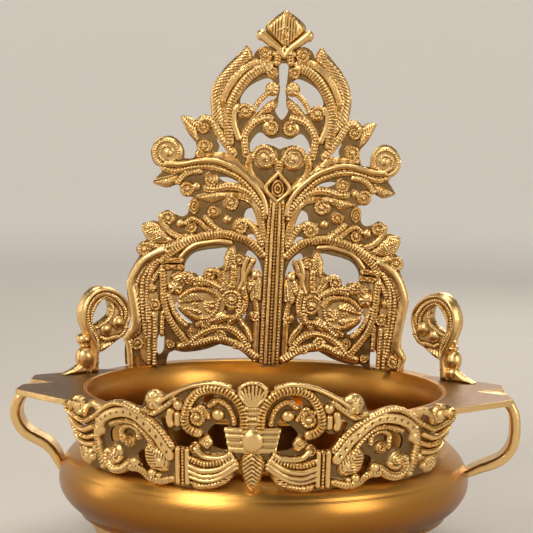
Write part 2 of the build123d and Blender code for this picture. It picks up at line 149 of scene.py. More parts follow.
def nearest(x, y, path):
    """Distance from a path, length along it and side of it, for every grid point."""
    a, b = path[:-1], path[1:]
    run = b - a
    length = np.maximum(np.linalg.norm(run, axis=1), 1e-9)
    before = np.concatenate([[0.0], np.cumsum(length)[:-1]])
    flat = np.stack([x.ravel(), y.ravel()], 1)
    best = np.full(len(flat), 1e9)
    along = np.zeros(len(flat))
    side = np.zeros(len(flat))
    for k in range(len(a)):
        off = flat - a[k]
        share = np.clip((off @ run[k]) / length[k] ** 2, 0.0, 1.0)
        gap = off - share[:, None] * run[k]
        distance = np.hypot(gap[:, 0], gap[:, 1])
        closer = distance < best
        best[closer] = distance[closer]
        along[closer] = (before[k] + share * length[k])[closer]
        side[closer] = (run[k, 0] * off[:, 1] - run[k, 1] * off[:, 0])[closer] / length[k]
    shape = x.shape
    return best.reshape(shape), along.reshape(shape), side.reshape(shape), before[-1] + length[-1]


def within(x, y, outline):
    """Signed distance inside a closed outline."""
    ring = np.vstack([outline, outline[:1]])
    distance = nearest(x, y, ring)[0]
    odd = np.zeros(x.shape, bool)
    for (x0, y0), (x1, y1) in zip(ring[:-1], ring[1:]):
        if y0 == y1:
            continue
        crosses = (y0 > y) != (y1 > y)
        odd ^= crosses & (x < (x1 - x0) * (y - y0) / (y1 - y0) + x0)
    return np.where(odd, distance, -distance)


def strand(field, points, wide, rise=2.6, style="plain", pitch=3.0, floor=0.4):
    """A raised band along a curve: plain, beaded, ribbed across or lined along."""
    path = smooth(points)
    wide = wide if isinstance(wide, tuple) else (wide, wide)
    where, x, y = field.window(path, max(wide))
    off, along, side, total = nearest(x, y, path)
    half = (wide[0] + (wide[1] - wide[0]) * along / total) / 2
    share = np.minimum(off / half, 1.0)
    dome = np.sqrt(1 - share**2)
    if style == "bead":
        turn = 2 * ((along / pitch) % 1.0) - 1
        blob = np.sqrt(np.clip(1 - (share / 0.62) ** 2 - turn**2 * 0.8, 0, 1))
        rails = np.exp(-(((share - 0.78) / 0.16) ** 2))
        height = rise * (0.5 * dome + 0.46 * blob + 0.3 * rails * dome)
    elif style == "rib":
        ribs = np.cos(2 * math.pi * (along / pitch + 0.25 * share))
        height = rise * dome**0.7 * (0.86 + 0.14 * np.clip(ribs * 1.6, -1, 1))
    elif style == "lines":
        height = rise * (0.62 * dome + 0.3 * dome * np.cos(math.pi * 3 * share) ** 2)
    elif style == "dots":
        turn = (2 * ((along / pitch) % 1.0) - 1) * pitch / 2
        hole = np.hypot(turn, off) < 1.1
        rails = np.exp(-(((share - 0.8) / 0.12) ** 2))
        height = rise * (0.86 * dome**0.6 + 0.22 * rails * dome) - 1.2 * hole
    else:
        height = rise * dome**0.8
    field.lift(where, floor + height, half - off)


def boss(field, centre, radius, rise=3.6, style="ball", tall=1.0, floor=0.4):
    """A round button: a ball, a ringed stud, a granular ball or a lobed rosette."""
    centre = np.asarray([centre], float)
    where, x, y = field.window(centre, radius * max(1, tall) + 1)
    dx, dy = x - centre[0, 0], (y - centre[0, 1]) / tall
    off = np.hypot(dx, dy)
    share = np.minimum(off / radius, 1.0)
    dome = np.sqrt(1 - share**2)
    spin = np.arctan2(dy, dx)
    if style == "ring":
        height = rise * (0.55 + 0.45 * np.cos(2.6 * math.pi * share) ** 2) * dome**0.5
    elif style == "grain":
        grain = np.sin(dx * 2.6) * np.sin(dy * 2.6)
        height = rise * dome * (0.88 + 0.16 * grain)
    elif style == "rose":
        height = rise * dome * (0.86 + 0.16 * np.cos(6 * spin) * (share > 0.35))
    else:
        height = rise * dome
    field.lift(where, floor + height, radius - off)


def volute(field, centre, radius, toward=0.0, hand=1, style="ball", rise=3.2, thick=None):
    """A rolled end: a tapering spiral strand round a button."""
    turns = 1.35 if radius < 10 else 1.9
    thick = thick or radius * (0.5 if radius < 10 else 0.4)
    share = np.linspace(0, 1, 30)
    reach = (radius - thick / 2) * (1 - share**1.3) + radius * 0.2 * share**1.3
    spin = math.radians(toward) + hand * 2 * math.pi * turns * share
    path = [
        (centre[0] + r * math.cos(a), centre[1] + r * math.sin(a)) for r, a in zip(reach, spin)
    ]
    boss(field, centre, radius * 0.9, rise * 0.62)
    finish = "rib" if radius < 10 else "bead"
    strand(field, path, (thick, thick * 0.6), rise, finish, 2.2)
    boss(field, centre, radius * 0.3, rise * 1.15, style)


def leaf(field, outline, rib, rise=2.6, pitch=3.2, slant=0.8, soft=1.5, floor=0.6, feather=False):
    """A leaf with a middle rib and slanting veins, or a feather combed one way."""
    ring = np.asarray(outline, float)
    ring = closed(ring) if len(ring) > 4 else smooth(np.vstack([ring, ring[:1]]))
    where, x, y = field.window(ring, 1.5)
    deep = within(x, y, ring)
    off, along, side, total = nearest(x, y, smooth(rib))
    body = 1 - np.exp(-np.maximum(deep, 0) / soft)
    comb = side if feather else off
    veins = np.cos(2 * math.pi * (along - slant * comb) / pitch)
    cuts = np.clip(-1.6 * veins - 0.6, 0, 1)
    spine = 0.0 if feather else np.exp(-((off / 0.8) ** 2))
    height = rise * body * (1.0 - 0.34 * cuts + 0.16 * spine)
    field.lift(where, floor + height, deep)


def ground(field, outline, height=0.0):
    """Flat metal inside an outline."""
    where, x, y = field.window(outline, 2.0)
    field.lift(where, np.full(x.shape, height), within(x, y, outline))


def pierce(field, outline):
    """Takes away the ground inside an outline."""
    where, x, y = field.window(outline, 3.0)
    field.metal[where] = np.minimum(field.metal[where], -within(x, y, outline))


def blurred(grid, times):
    """The grid averaged over its neighbours, so many times."""
    for _ in range(times):
        padded = np.pad(grid, 1, mode="edge")
        grid = (
            padded[:-2, 1:-1] + padded[2:, 1:-1] + padded[1:-1, :-2] + padded[1:-1, 2:] + 4 * grid
        ) / 8
    return grid


def cast_noise(x, y, size, seed):
    """Soft unevenness of a hand finished casting."""
    rng = np.random.default_rng(seed)
    total = np.zeros(x.shape)
    for _ in range(7):
        turn = rng.uniform(0, 2 * math.pi)
        wave = size * rng.uniform(0.7, 1.6)
        total += np.sin((x * math.cos(turn) + y * math.sin(turn)) / wave + rng.uniform(0, 6.3))
    return total / 7


def contoured(metal, layers):
    """Points and faces of a grid where there is metal, cut along the metal's edge.

    The layers are grids whose values the points carry: the place across, the place up, then others.
    Also gives the pairs of points along the cut edge."""
    inside = metal > 0
    ids = -np.ones(metal.shape, int)
    ids[inside] = np.arange(inside.sum())
    spots = [np.stack([layer[inside] for layer in layers], 1)]
    total = len(spots[0])

    def crossings(a, b):
        """Points where the edge of the metal crosses the grid lines from a to b."""
        nonlocal total
        cut = inside[a] != inside[b]
        share = metal[a][cut] / (metal[a][cut] - metal[b][cut])
        share = np.clip(share, 0.02, 0.98)
        made = -np.ones(cut.shape, int)
        made[cut] = total + np.arange(cut.sum())
        place = [grid[a][cut] + share * (grid[b][cut] - grid[a][cut]) for grid in layers[:2]]
        rest = [np.where(inside[a][cut], grid[a][cut], grid[b][cut]) for grid in layers[2:]]
        rest[0] = rest[0] - EDGE_DROP
        spots.append(np.stack(place + rest, 1))
        total += cut.sum()
        return made

    everything = slice(None)
    level = crossings((everything, slice(0, -1)), (everything, slice(1, None)))
    upright = crossings((slice(0, -1), everything), (slice(1, None), everything))
    corner = [ids[:-1, :-1], ids[:-1, 1:], ids[1:, 1:], ids[1:, :-1]]
    cross = [level[:-1, :], upright[:, 1:], level[1:, :], upright[:, :-1]]
    case = sum((corner[k] >= 0).astype(int) << k for k in range(4))
    faces = []
    rim = []
    for kind in range(1, 16):
        here = case == kind
        if not here.any():
            continue
        chain = []
        for k in range(4):
            if kind >> k & 1:
                chain.append((corner[k][here], False))
            if (kind >> k & 1) != (kind >> ((k + 1) % 4) & 1):
                chain.append((cross[k][here], True))
        faces += np.stack([c for c, _ in chain], 1).tolist()
        for (a, a_cut), (b, b_cut) in zip(chain, chain[1:] + chain[:1]):
            if a_cut and b_cut:
                rim += np.stack([a, b], 1).tolist()
    return np.vstack(spots), faces, rim


def cast_mesh(name, field, place, back, seed, round_edge=0.0, low_tone=0.0):
    """A closed casting of the field: carved front, side walls and a softly uneven back."""
    metal, high = field.metal, field.high.copy()
    x, y = np.meshgrid(field.across, field.up)
    high += FACE_FINE[0] * cast_noise(x, y, FACE_FINE[1], seed)
    high += FACE_BROAD[0] * cast_noise(x, y, FACE_BROAD[1], seed + 1)
    rear = back + BACK_SOFT_EDGE[0] * np.exp(-np.maximum(metal, 0) / BACK_SOFT_EDGE[1])
    rear += BACK_BROAD[0] * (1 + cast_noise(x, y, BACK_BROAD[1], seed + 2))
    rear += 0.25 * blurred(np.maximum(high, 0), 6)
    if round_edge:
        near = np.clip(round_edge - metal, 0, round_edge)
        turned = round_edge - np.sqrt(np.maximum(round_edge**2 - near**2, 0))
        high -= turned
        rear += turned
    hollow = blurred(high, int(2.2 / field.step) ** 2) - high
    flat, faces, rim = contoured(metal, [x, y, high, hollow, rear])
    total = len(flat)
    walls = [(b, a, a + total, b + total) for a, b in rim]
    cap = [[v + total for v in reversed(face)] for face in faces]
    depth = np.concatenate([flat[:, 2], flat[:, 4]])
    spread = place(np.tile(flat[:, 0], 2), np.tile(flat[:, 1], 2), depth)
    mesh = bpy.data.meshes.new(name)
    mesh.from_pydata((spread * MM).tolist(), [], faces + walls + cap)
    # Patina and painted shade: brown patina in the hollows together with painted shade in recesses and
    # on the low ground between the raised work; the back gets a fixed middling value.
    patina_and_shade = mesh.attributes.new("patina_and_shade", "FLOAT", "POINT")
    shade = np.maximum(flat[:, 3] / 1.3 + 0.4, 1.0 - flat[:, 2] / 2.4 + low_tone)
    shade = np.concatenate([shade, np.full(total, 0.5)])
    patina_and_shade.data.foreach_set("value", np.clip(shade, 0, 1).astype(np.float32))
    return finished(name, mesh, 38)


def net(rows, across, wrap_rows=False, wrap_across=True):
    """Four-sided faces over a net of points, given row after row."""
    row_steps = np.arange(rows if wrap_rows else rows - 1)
    across_steps = np.arange(across if wrap_across else across - 1)
    k, j = np.meshgrid(row_steps, across_steps, indexing="ij")
    n, m = (k + 1) % rows, (j + 1) % across
    faces = [k * across + j, n * across + j, n * across + m, k * across + m]
    return np.stack(faces, 2).reshape(-1, 4).tolist()


def capped_tube(name, points, ring, sharp):
    """A closed piece from rings of points in metres, faced outwards and capped at both ends."""
    count = len(points)
    faces = [list(range(ring)), list(range(count - ring, count))[::-1]]
    mesh = bpy.data.meshes.new(name)
    mesh.from_pydata(points, [], faces + net(count // ring, ring))
    work = bmesh.new()
    work.from_mesh(mesh)
    bmesh.ops.recalc_face_normals(work, faces=work.faces)
    work.to_mesh(mesh)
    work.free()
    return finished(name, mesh, sharp)


def finished(name, mesh, sharp):
    """An object of the mesh, smooth shaded up to a sharp angle in degrees."""
    mesh.validate()
    mesh.shade_smooth()
    mesh.set_sharp_from_angle(angle=math.radians(sharp))
    piece = bpy.data.objects.new(name, mesh)
    bpy.context.scene.collection.objects.link(piece)
    return piece


# ---------------------------------------------------------------- brass

def add_node(tree, kind, **values):
    """A shader node of a kind, with plain values for its named inputs."""
    node = tree.nodes.new("ShaderNode" + kind)
    for name, value in values.items():
        node.inputs[name.replace("_", " ")].default_value = value
    return node


def mixed(tree, share, first, second):
    """The second colour mixed into the first by a share; each is a socket or a plain colour."""
    mix = add_node(tree, "Mix")
    mix.data_type = "RGBA"
    for at, value in ((0, share), (6, first), (7, second)):
        if isinstance(value, bpy.types.NodeSocket):
            tree.links.new(value, mix.inputs[at])
        else:
            mix.inputs[at].default_value = value
    return mix.outputs[2]


def clouds(tree, place, scale, detail=2.0):
    """Noise in the piece's own space."""
    noise = add_node(tree, "TexNoise", Scale=scale, Detail=detail)
    tree.links.new(place, noise.inputs["Vector"])
    return noise.outputs["Fac"]


def bumped(tree, height, strength, distance):
    """A bump of the surface, its distance in metres."""
    bump = add_node(tree, "Bump", Strength=strength, Distance=distance)
    tree.links.new(height, bump.inputs["Height"])
    return bump


def dulled(colour, red, green, blue):
    """A colour with its parts turned down, as a shader takes it."""
    return (colour[0] * red, colour[1] * green, colour[2] * blue, 1)


def brown_and_shaded_hollows(tree, colour, most):
    """The colour going brown where the casting's patina and painted shade are high."""
    hollow = add_node(tree, "Attribute")
    hollow.attribute_name = "patina_and_shade"
    ramp = add_node(tree, "ValToRGB")
    start, end = ramp.color_ramp.elements
    start.position, end.position = 0.36, 0.86
    end.color = (most, most, most, 1)
    tree.links.new(hollow.outputs["Fac"], ramp.inputs["Fac"])
    return mixed(tree, ramp.outputs["Color"], colour, (*BROWN, 1))


def painted_reflection_below(tree, place, colour, dark):
    """The colour going dark under the bowl's widest part, a painted dark reflection."""
    parts = add_node(tree, "SeparateXYZ")
    tree.links.new(place, parts.inputs["Vector"])
    low = add_node(tree, "MapRange", From_Min=PAINTED_REFLECTION_TOP, From_Max=PAINTED_REFLECTION_FULL, To_Max=0.95)
    low.interpolation_type = "SMOOTHSTEP"
    tree.links.new(parts.outputs["Z"], low.inputs["Value"])
    return mixed(tree, low.outputs["Result"], colour, dark)


def brass(name, gold, rough, patina_and_shade=0.0, wear=0.25, grain=0.0, lumps=0.0, spun=0.0):
    """Brass with a wandering tone and fine scratches.

    Castings go brown in their hollows, partly patina and partly painted shade, and have a lumpy skin.
    Spun work has fine rings and a painted dark reflection on its underside."""
    material = bpy.data.materials.new(name)
    material.use_nodes = True
    tree = material.node_tree
    shader = tree.nodes["Principled BSDF"]
    shader.inputs["Metallic"].default_value = 1.0
    place = add_node(tree, "TexCoord").outputs["Object"]
    colour = mixed(tree, clouds(tree, place, 11.0, 5.0), (*gold, 1), dulled(gold, 0.95, 0.91, 0.82))
    if patina_and_shade:
        colour = brown_and_shaded_hollows(tree, colour, patina_and_shade)
    # Painted dark reflection: spun work goes darker towards the bottom of the bowl.
    if spun:
        colour = painted_reflection_below(tree, place, colour, dulled(gold, 0.5, 0.36, 0.22))
    tree.links.new(colour, shader.inputs["Base Color"])
    fine = clouds(tree, place, 180.0, 4.0)
    spread = add_node(tree, "MapRange", To_Min=rough * (1 - wear), To_Max=rough * (1 + wear))
    tree.links.new(fine, spread.inputs["Value"])
    tree.links.new(spread.outputs["Result"], shader.inputs["Roughness"])
    if spun:
        rings = add_node(tree, "TexWave", Scale=330.0, Distortion=0.4, Detail=3.0)
        rings.wave_type = "BANDS"
        rings.bands_direction = "Z"
        tree.links.new(place, rings.inputs["Vector"])
        skin = bumped(tree, rings.outputs["Fac"], spun, 0.2 * MM)
        tree.links.new(skin.outputs["Normal"], shader.inputs["Normal"])
    if grain:
        skin = bumped(tree, fine, grain, 0.5 * MM)
        tree.links.new(skin.outputs["Normal"], shader.inputs["Normal"])
        if lumps:
            swell = bumped(tree, clouds(tree, place, 70.0), lumps, 1.0 * MM)
            tree.links.new(swell.outputs["Normal"], skin.inputs["Normal"])
    return material


# Heights in metres where the bowl's painted dark reflection starts and where it is full
PAINTED_REFLECTION_TOP = 0.088
PAINTED_REFLECTION_FULL = 0.050

GOLD = (0.58, 0.305, 0.072)
PALE = (0.86, 0.60, 0.27)
# A dark copy of the brass for the ear plates' faces: painted shade.
SHADED_TONE = (0.20, 0.105, 0.036)
BROWN = (0.085, 0.036, 0.010)

# Carved castings go brown in their hollows: patina with painted shade.
CARVED = brass("carved_brass", PALE, 0.34, patina_and_shade=0.84, grain=0.45, lumps=0.6)
SPUN = brass("polished_brass", GOLD, 0.29, wear=0.12, spun=0.12)
STRAP = brass("cast_brass", PALE, 0.33, grain=1.0, lumps=1.0)
# Painted shade: the ear plates' faces in a dark copy of the brass, their edges left bright.
SHADED_TOP = brass("shaded_top_brass", SHADED_TONE, 0.42, grain=0.4, lumps=0.5)
FASTENER = brass("fastener_brass", GOLD, 0.38)


def hand_over(piece, nodes, material):
    """Gives a piece its body, the nodes it stands for and its finish."""
    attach(piece, "root")
    for node in nodes:
        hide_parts(node)
    piece.data.materials.append(material)


# ---------------------------------------------------------------- back panel

PANEL_EDGE = [
    [(0, 3), (14, 5), (28, 15), (45, 19)],
    [(45, 19), (60, 13), (76, 10), (86, 11)],
    [(86, 11), (91, 8), (93, 0), (93, -12)],
    [(93, -12), (129, -12)],
    [(129, -12), (131, 4), (131, 21)],
    [(131, 21), (127, 28), (126, 38), (129, 50), (131.5, 64), (130, 78), (122, 94), (121.5, 95.5)],
    [(121.5, 95.5), (124.5, 100), (122, 106), (116, 109.5)],
    [(116, 109.5), (114, 115), (120.5, 123.5)],
    [(120.5, 123.5), (111, 127), (104, 126)],
    [(104, 126), (104, 133), (98, 137.5), (90.5, 134)],
    [(90.5, 134), (84.5, 132.5), (79.5, 136), (78.5, 143), (75, 150)],
    [(75, 150), (81, 151), (86.5, 155), (88.5, 162)],
    [(88.5, 162), (100, 157.5), (112.5, 162)],
    [(112.5, 162), (106, 170), (101, 174.5)],
    [(101, 174.5), (111, 178), (115, 189), (110, 200), (99, 204), (90, 200), (85.5, 192),
     (85, 184.5)],
    [(85, 184.5), (78, 185), (74, 190), (75, 199)],
    [(75, 199), (83, 208), (89.5, 222)],
    [(89.5, 222), (81, 222), (75.5, 218.5)],
    [(75.5, 218.5), (70, 224), (62, 221)],
    [(62, 221), (63.5, 243), (55, 263), (44, 276), (33.5, 287.5)],
    [(33.5, 287.5), (29, 282), (28, 277)],
    [(28, 277), (24.5, 284), (18, 287.5), (13, 287)],
    [(13, 287), (20, 291.5), (25, 295.5), (21.5, 299.5), (17, 299)],
    [(17, 299), (17.5, 306), (9, 314), (0, 320)],
]
PANEL_OPENINGS = [
    [(15.5, 259), (9, 257), (5, 250), (5, 244), (12, 238), (18, 230), (30, 229), (37, 236),
     (36, 243), (29, 252)],
    [(53, 209), (48.5, 202), (41, 191), (45, 188.5), (55, 190), (54, 197), (56.5, 203)],
    [(53, 169), (46, 169.6), (38, 167), (30, 162), (38, 164), (46, 165)],
    [(27, 141.5), (20, 143), (14.5, 134), (13, 126), (19, 129), (25, 129), (29, 134)],
    [(11, 111), (14, 117), (22, 120), (26, 117), (19, 112), (13, 106)],
    [(11, 82), (12, 92), (17, 101), (24, 105), (26.5, 96), (24, 88), (19, 86)],
    [(80, 90), (75, 98), (68, 102), (54, 105), (42, 105.5), (44, 93), (49, 88), (60, 84.5),
     (66, 78), (70, 82), (79, 82)],
    [(91, 60), (85, 60), (83.5, 55), (84.5, 49), (78, 42.5), (71, 37), (78, 37.5), (85, 43),
     (90, 52)],
    [(25, 67), (22, 60), (23, 48), (27, 41), (27, 52)],
    [(96, 12), (96, 24), (98.5, 31), (101, 24), (103, 15), (102, 9), (99, 7)],
]
PANEL_GAP = [
    (0, 273), (4, 272), (3.5, 258), (2.5, 250), (3.5, 242), (3.5, 238), (6, 232), (3, 226),
    (0, 223),
]
PANEL_HEART = [
    (0, 197), (7, 200), (14, 200.5), (20, 196), (25, 191), (27, 199), (24, 206), (18, 211),
    (9, 206), (0, 208),
]

# Strands of one half: points, width, height, finish, pitch
PANEL_STRANDS = [
    ([(49, 215), (53, 235), (48, 250), (40, 262), (30, 270), (20, 273), (12, 272)],
     6, 2.6, "lines", 3),
    ([(45, 201), (47, 220), (46, 232), (42, 243), (36, 253), (30, 260), (22, 266), (14, 269)],
     7.5, 3.4, "rib", 3),
    ([(37, 205), (42, 218), (42, 228), (39, 233)], 5, 2.6, "plain", 3),
    ([(25, 231), (20, 239), (14, 245), (12, 247)], 4, 2.6, "rib", 2.4),
    ([(30, 191), (32, 205), (29, 213), (23, 220), (16, 223.5), (10, 224.5)], 6, 3.2, "bead", 3.2),
    ([(41, 191), (50, 202), (57, 212), (62, 219), (69, 220.5), (74.5, 215)], 6, 3.0, "bead", 3.2),
    ([(72, 189), (65, 187.5), (55, 188), (46, 187), (38, 182), (30, 175)], 6, 3.0, "lines", 3),
    ([(103, 175), (94, 173), (85, 175), (75, 177.5), (65, 178.5), (55, 177.5), (45, 174.5),
     (35, 170), (26, 162), (18, 153), (13, 145), (11, 135)], 5, 3.4, "bead", 3.4),
    ([(101, 179), (93, 179), (85, 180), (75, 182.5), (65, 184), (55, 183.5), (45, 180.5),
     (35, 176), (26, 169), (17, 160), (11, 150), (9, 139)], 4.6, 3.8, "plain", 3),
    ([(25, 190), (27, 182), (24, 173), (17, 166), (11, 160)], 5.5, 3.4, "lines", 3),
    ([(90, 163), (85, 169), (78, 172.5), (70, 173.5)], 4.5, 2.8, "rib", 2.6),
    ([(64, 159), (55, 159), (45, 161.5), (35, 161), (26, 157.5), (20, 152), (15, 146)],
     6, 3.2, "bead", 3.2),
    ([(45, 153), (35, 153.5), (25, 151), (19, 145), (15, 136), (12, 125), (10, 115)],
     6, 3.0, "lines", 3),
    ([(63, 132), (57, 126), (50, 121), (40, 118)], 5, 3.0, "bead", 3),
    ([(81, 127), (75, 131), (68, 128), (62, 123), (55, 119)], 4, 3.0, "rib", 2.6),
    ([(35, 130), (28, 131), (21, 127), (16, 120), (11, 110)], 5, 3.0, "bead", 3),
    ([(103, 132), (102, 126), (96, 119), (88, 115), (80, 114)], 5, 3.0, "lines", 3),
    ([(111, 106), (104, 103.5), (94, 105), (85, 110), (75, 115)], 5.5, 3.2, "bead", 3),
    ([(11, 102), (17, 108), (25, 114), (35, 117), (45, 119), (55, 118), (65, 116), (75, 112),
     (85, 106), (94, 99), (100, 92)], 6.5, 3.8, "rib", 3),
    ([(40, 111), (50, 112), (60, 110.5), (70, 108), (78, 103), (84, 96)], 4.5, 3.0, "plain", 3),
    ([(100, 101), (107, 98), (116, 92), (123, 82), (127.5, 70), (126, 60), (124, 50), (122, 38),
     (123, 28), (127, 22)], 7, 3.8, "plain", 3),
    ([(104, 93), (112, 84), (117, 74), (118, 62), (117, 50), (115, 35), (112, 20)],
     4.6, 3.2, "bead", 3.2),
    ([(100, 86), (105, 79), (109, 72)], 4.6, 3.0, "bead", 3.0),
    ([(100, 83), (99, 72), (98, 60), (96, 50), (92, 40), (85, 30), (78, 22), (73, 17)],
     5.5, 3.6, "rib", 3),
    ([(94, 61), (90, 50), (84, 41), (77, 35)], 4, 2.8, "bead", 2.8),
    ([(110, 48), (110, 30), (109, -6)], 3.8, 2.8, "bead", 3.0),
    ([(106, 42), (105, 28), (104, -6)], 3.8, 2.8, "bead", 3.0),
    ([(98, 45), (98, 25)], 3.6, 2.8, "rib", 2.4),
    ([(106, 96), (114, 89), (120.5, 78), (123, 66), (121.5, 52), (119, 38), (119, 26)],
     4, 3.0, "lines", 3),
    ([(101, 94), (108, 86), (112.5, 76), (113.5, 62), (113, 50), (112, 36)], 4, 3.0, "bead", 2.8),
    ([(82, 60), (74, 66), (64, 68), (55, 66), (48, 60)], 4.4, 3.8, "rib", 2.6),
    ([(60, 42), (68, 42), (76, 46), (83, 51)], 3.6, 3.6, "rib", 2.4),
    ([(48, 60), (50, 50), (56, 43), (64, 41)], 4.4, 3.6, "bead", 2.8),
    ([(26, 70), (24, 60), (26, 50), (33, 44), (42, 44)], 5, 3.6, "rib", 2.6),
    ([(24, 98), (27, 88), (27, 78), (30, 70)], 4, 3.4, "plain", 3),
    ([(46, 68), (44, 76), (46, 84)], 3.6, 3.4, "lines", 3),
    ([(74, 17), (64, 27), (52, 33), (38, 34), (27, 28), (20, 18)], 5.5, 3.4, "bead", 2.8),
    ([(66, 36), (58, 40), (48, 41), (40, 44)], 4.4, 3.2, "rib", 2.4),
    ([(31, 50), (27, 40), (21, 32), (18, 24)], 4.4, 3.2, "lines", 3),
    ([(130, 20), (127, 12), (125, -6)], 5, 3.2, "plain", 3),
    ([(70, 72), (60, 73.5), (50, 71), (44, 68)], 4, 3.0, "rib", 2.4),
    ([(56, 85), (50, 84), (45, 77), (41, 70)], 5, 3.0, "rib", 2.4),
    ([(76, 80), (70, 76), (60, 76), (50, 72), (44, 68)], 5, 3.2, "bead", 2.8),
    ([(36, 89), (36, 80), (37, 72)], 5, 3.0, "rib", 2.4),
    ([(19, 96), (23, 87), (27, 80), (26, 70)], 5, 3.0, "lines", 3),
    ([(30, 66), (29, 54), (32, 44), (37, 40)], 5, 3.2, "bead", 3.0),
    ([(60, 35), (55, 39), (50, 44)], 6, 3.0, "rib", 2.4),
    ([(17, 66), (14, 52), (13, 40), (13, 8)], 5, 2.8, "lines", 3),
    ([(5.2, 150), (6.2, 130), (6.6, 100), (6.8, 60), (6.8, 6)], 3.2, 4.0, "bead", 3.0),
    ([(2.6, 148), (3.1, 120), (3.3, 80), (3.4, 4)], 3.0, 4.4, "plain", 3),
    ([(0, 150), (0, 120), (0, 4)], 3.4, 4.2, "bead", 3.2),
    ([(0, 150), (10.5, 162), (0, 176)], 3.6, 4.0, "plain", 3),
    ([(0, 176), (2, 184), (6, 190)], 5, 3.2, "rib", 2.6),
    ([(0, 286), (4, 283), (8, 281)], 5, 3.6, "rib", 2.6),
    ([(6, 274), (5, 281)], 6, 3.4, "rib", 2.8),
    ([(81, 15), (66, 18), (52, 23), (40, 23), (26, 18), (12, 9)], 6, 3.0, "rib", 3),
]
# Rolled ends of one half: centre, radius, where the strand comes in, turning hand, button
PANEL_VOLUTES = [
    ((17, 280), 7, 200, 1, "ball"),
    ((10, 264), 6, 150, -1, "ball"),
    ((32.5, 229), 8, 0, 1, "ball"),
    ((9, 215), 8, 90, 1, "grain"),
    ((68.5, 213), 7, 40, -1, "ball"),
    ((67, 196), 7.5, 300, 1, "ball"),
    ((100, 189), 15, 280, 1, "ball"),
    ((13, 189), 12.5, 350, 1, "ball"),
    ((81, 157), 7.5, 30, 1, "grain"),
    ((60, 167), 7, 240, 1, "ball"),
    ((41.5, 146.5), 8, 100, 1, "ball"),
    ((56, 138), 6.5, 320, 1, "ball"),
    ((76, 123), 6, 120, 1, "ball"),
    ((32, 126), 7.6, 110, 1, "ball"),
    ((97, 130), 7.2, 20, 1, "ball"),
    ((117, 101), 7.5, 140, -1, "ball"),
    ((105.5, 51), 6.5, 60, 1, "ball"),
    ((120, 16), 7.5, 20, -1, "ball"),
    ((75, 77), 6, 300, 1, "ball"),
    ((57, 81.5), 6.5, 330, 1, "ball"),
    ((31, 96), 7, 300, 1, "grain"),
    ((36.5, 59.5), 10.5, 20, 1, "ball"),
    ((54, 53), 8.0, 30, -1, "ball"),
    ((69, 53.5), 3.6, 160, 1, "ball"),
    ((15, 45.5), 5.5, 90, 1, "ball"),
    ((90, 16), 4.5, 90, 1, "ball"),
    ((45, 26), 6.5, 60, 1, "ball"),
    ((31, 20), 5.0, 200, 1, "ball"),
    ((62, 21), 4.5, 20, 1, "ball"),
]
# Buttons of one half: centre, radius, height, finish, stretch
PANEL_BOSSES = [
    ((21.5, 295.5), 3.5, 3.8, "ball", 1.0),
    ((9, 250), 6.5, 4.2, "rose", 1.0),
    ((74, 142), 5, 3.8, "ring", 1.5),
    ((44, 132), 4, 3.0, "ball", 1.0),
    ((86, 126), 4, 3.0, "ball", 1.0),
    ((73, 160), 4, 3.0, "ball", 1.0),
    ((106, 116), 4.5, 4.0, "ring", 0.8),
    ((95, 111), 3.0, 3.6, "ball", 1.0),
    ((109, 66), 4.5, 3.8, "rose", 1.0),
    ((88, 68), 7, 3.8, "rose", 1.0),
    ((16, 83), 4.5, 3.6, "ball", 1.2),
    ((71, 28), 4.5, 3.2, "ring", 1.2),
]
# Leaves of one half: outline, middle rib, vein pitch
PANEL_LEAVES = [
    ([(33.5, 287.5), (28.5, 278), (35, 270), (45, 259), (50, 251), (54, 240), (50, 213), (60, 219),
     (62, 222), (63, 233), (63.5, 243), (61, 253), (55, 263), (47, 272), (39, 280)], [(56, 216),
     (58.5, 240), (50, 259), (33, 285)], 4.2),
    ([(27, 221), (20, 230), (14, 237), (8, 240), (4, 237), (5, 233), (9, 230), (15, 227)],
     [(26, 222), (15, 232), (5, 237)], 3.0),
    ([(89.5, 222), (80, 221), (75.5, 217), (73, 202), (75, 201.5), (81, 206), (86, 213)],
     [(73, 202), (80, 212), (89, 221)], 3.2),
    ([(91, 169), (100, 167), (112.5, 162), (100, 157.5), (92, 162)], [(88, 168), (112, 162)], 3.0),
    ([(37, 155), (50, 157), (72, 151), (60, 146), (50, 149)], [(37, 154), (72, 151)], 3.0),
    ([(120.5, 123.5), (110, 125.5), (103, 122), (96, 115), (90, 110), (106, 107), (116, 111)],
     [(92, 110), (120, 123)], 3.0),
    ([(38.5, 110), (34, 98), (38, 88), (44, 85), (45, 98)], [(43, 86), (39, 109)], 3.0),
    ([(86, 55), (83, 60), (76, 64), (68, 65), (61, 61), (62, 56.5), (70, 54.5), (80, 53)],
     [(61, 59), (86, 55)], 3.4),
    ([(84, 52), (76, 52.5), (67, 51.5), (61, 47), (67, 43.5), (77, 46)], [(61, 47), (84, 51)], 3.4),
    ([(10, 78), (14, 70), (22, 66), (24, 74), (20, 82), (14, 84)], [(12, 82), (22, 68)], 2.6),
    ([(60, 35), (50, 36), (40, 42), (44, 50), (54, 44)], [(42, 46), (60, 36)], 2.6),
    ([(10, 60), (10, 78), (20, 78), (20, 60)], [(15, 60), (15, 78)], 2.4),
    ([(92, 78), (80, 84), (78, 74), (86, 66)], [(80, 80), (90, 70)], 2.6),
]
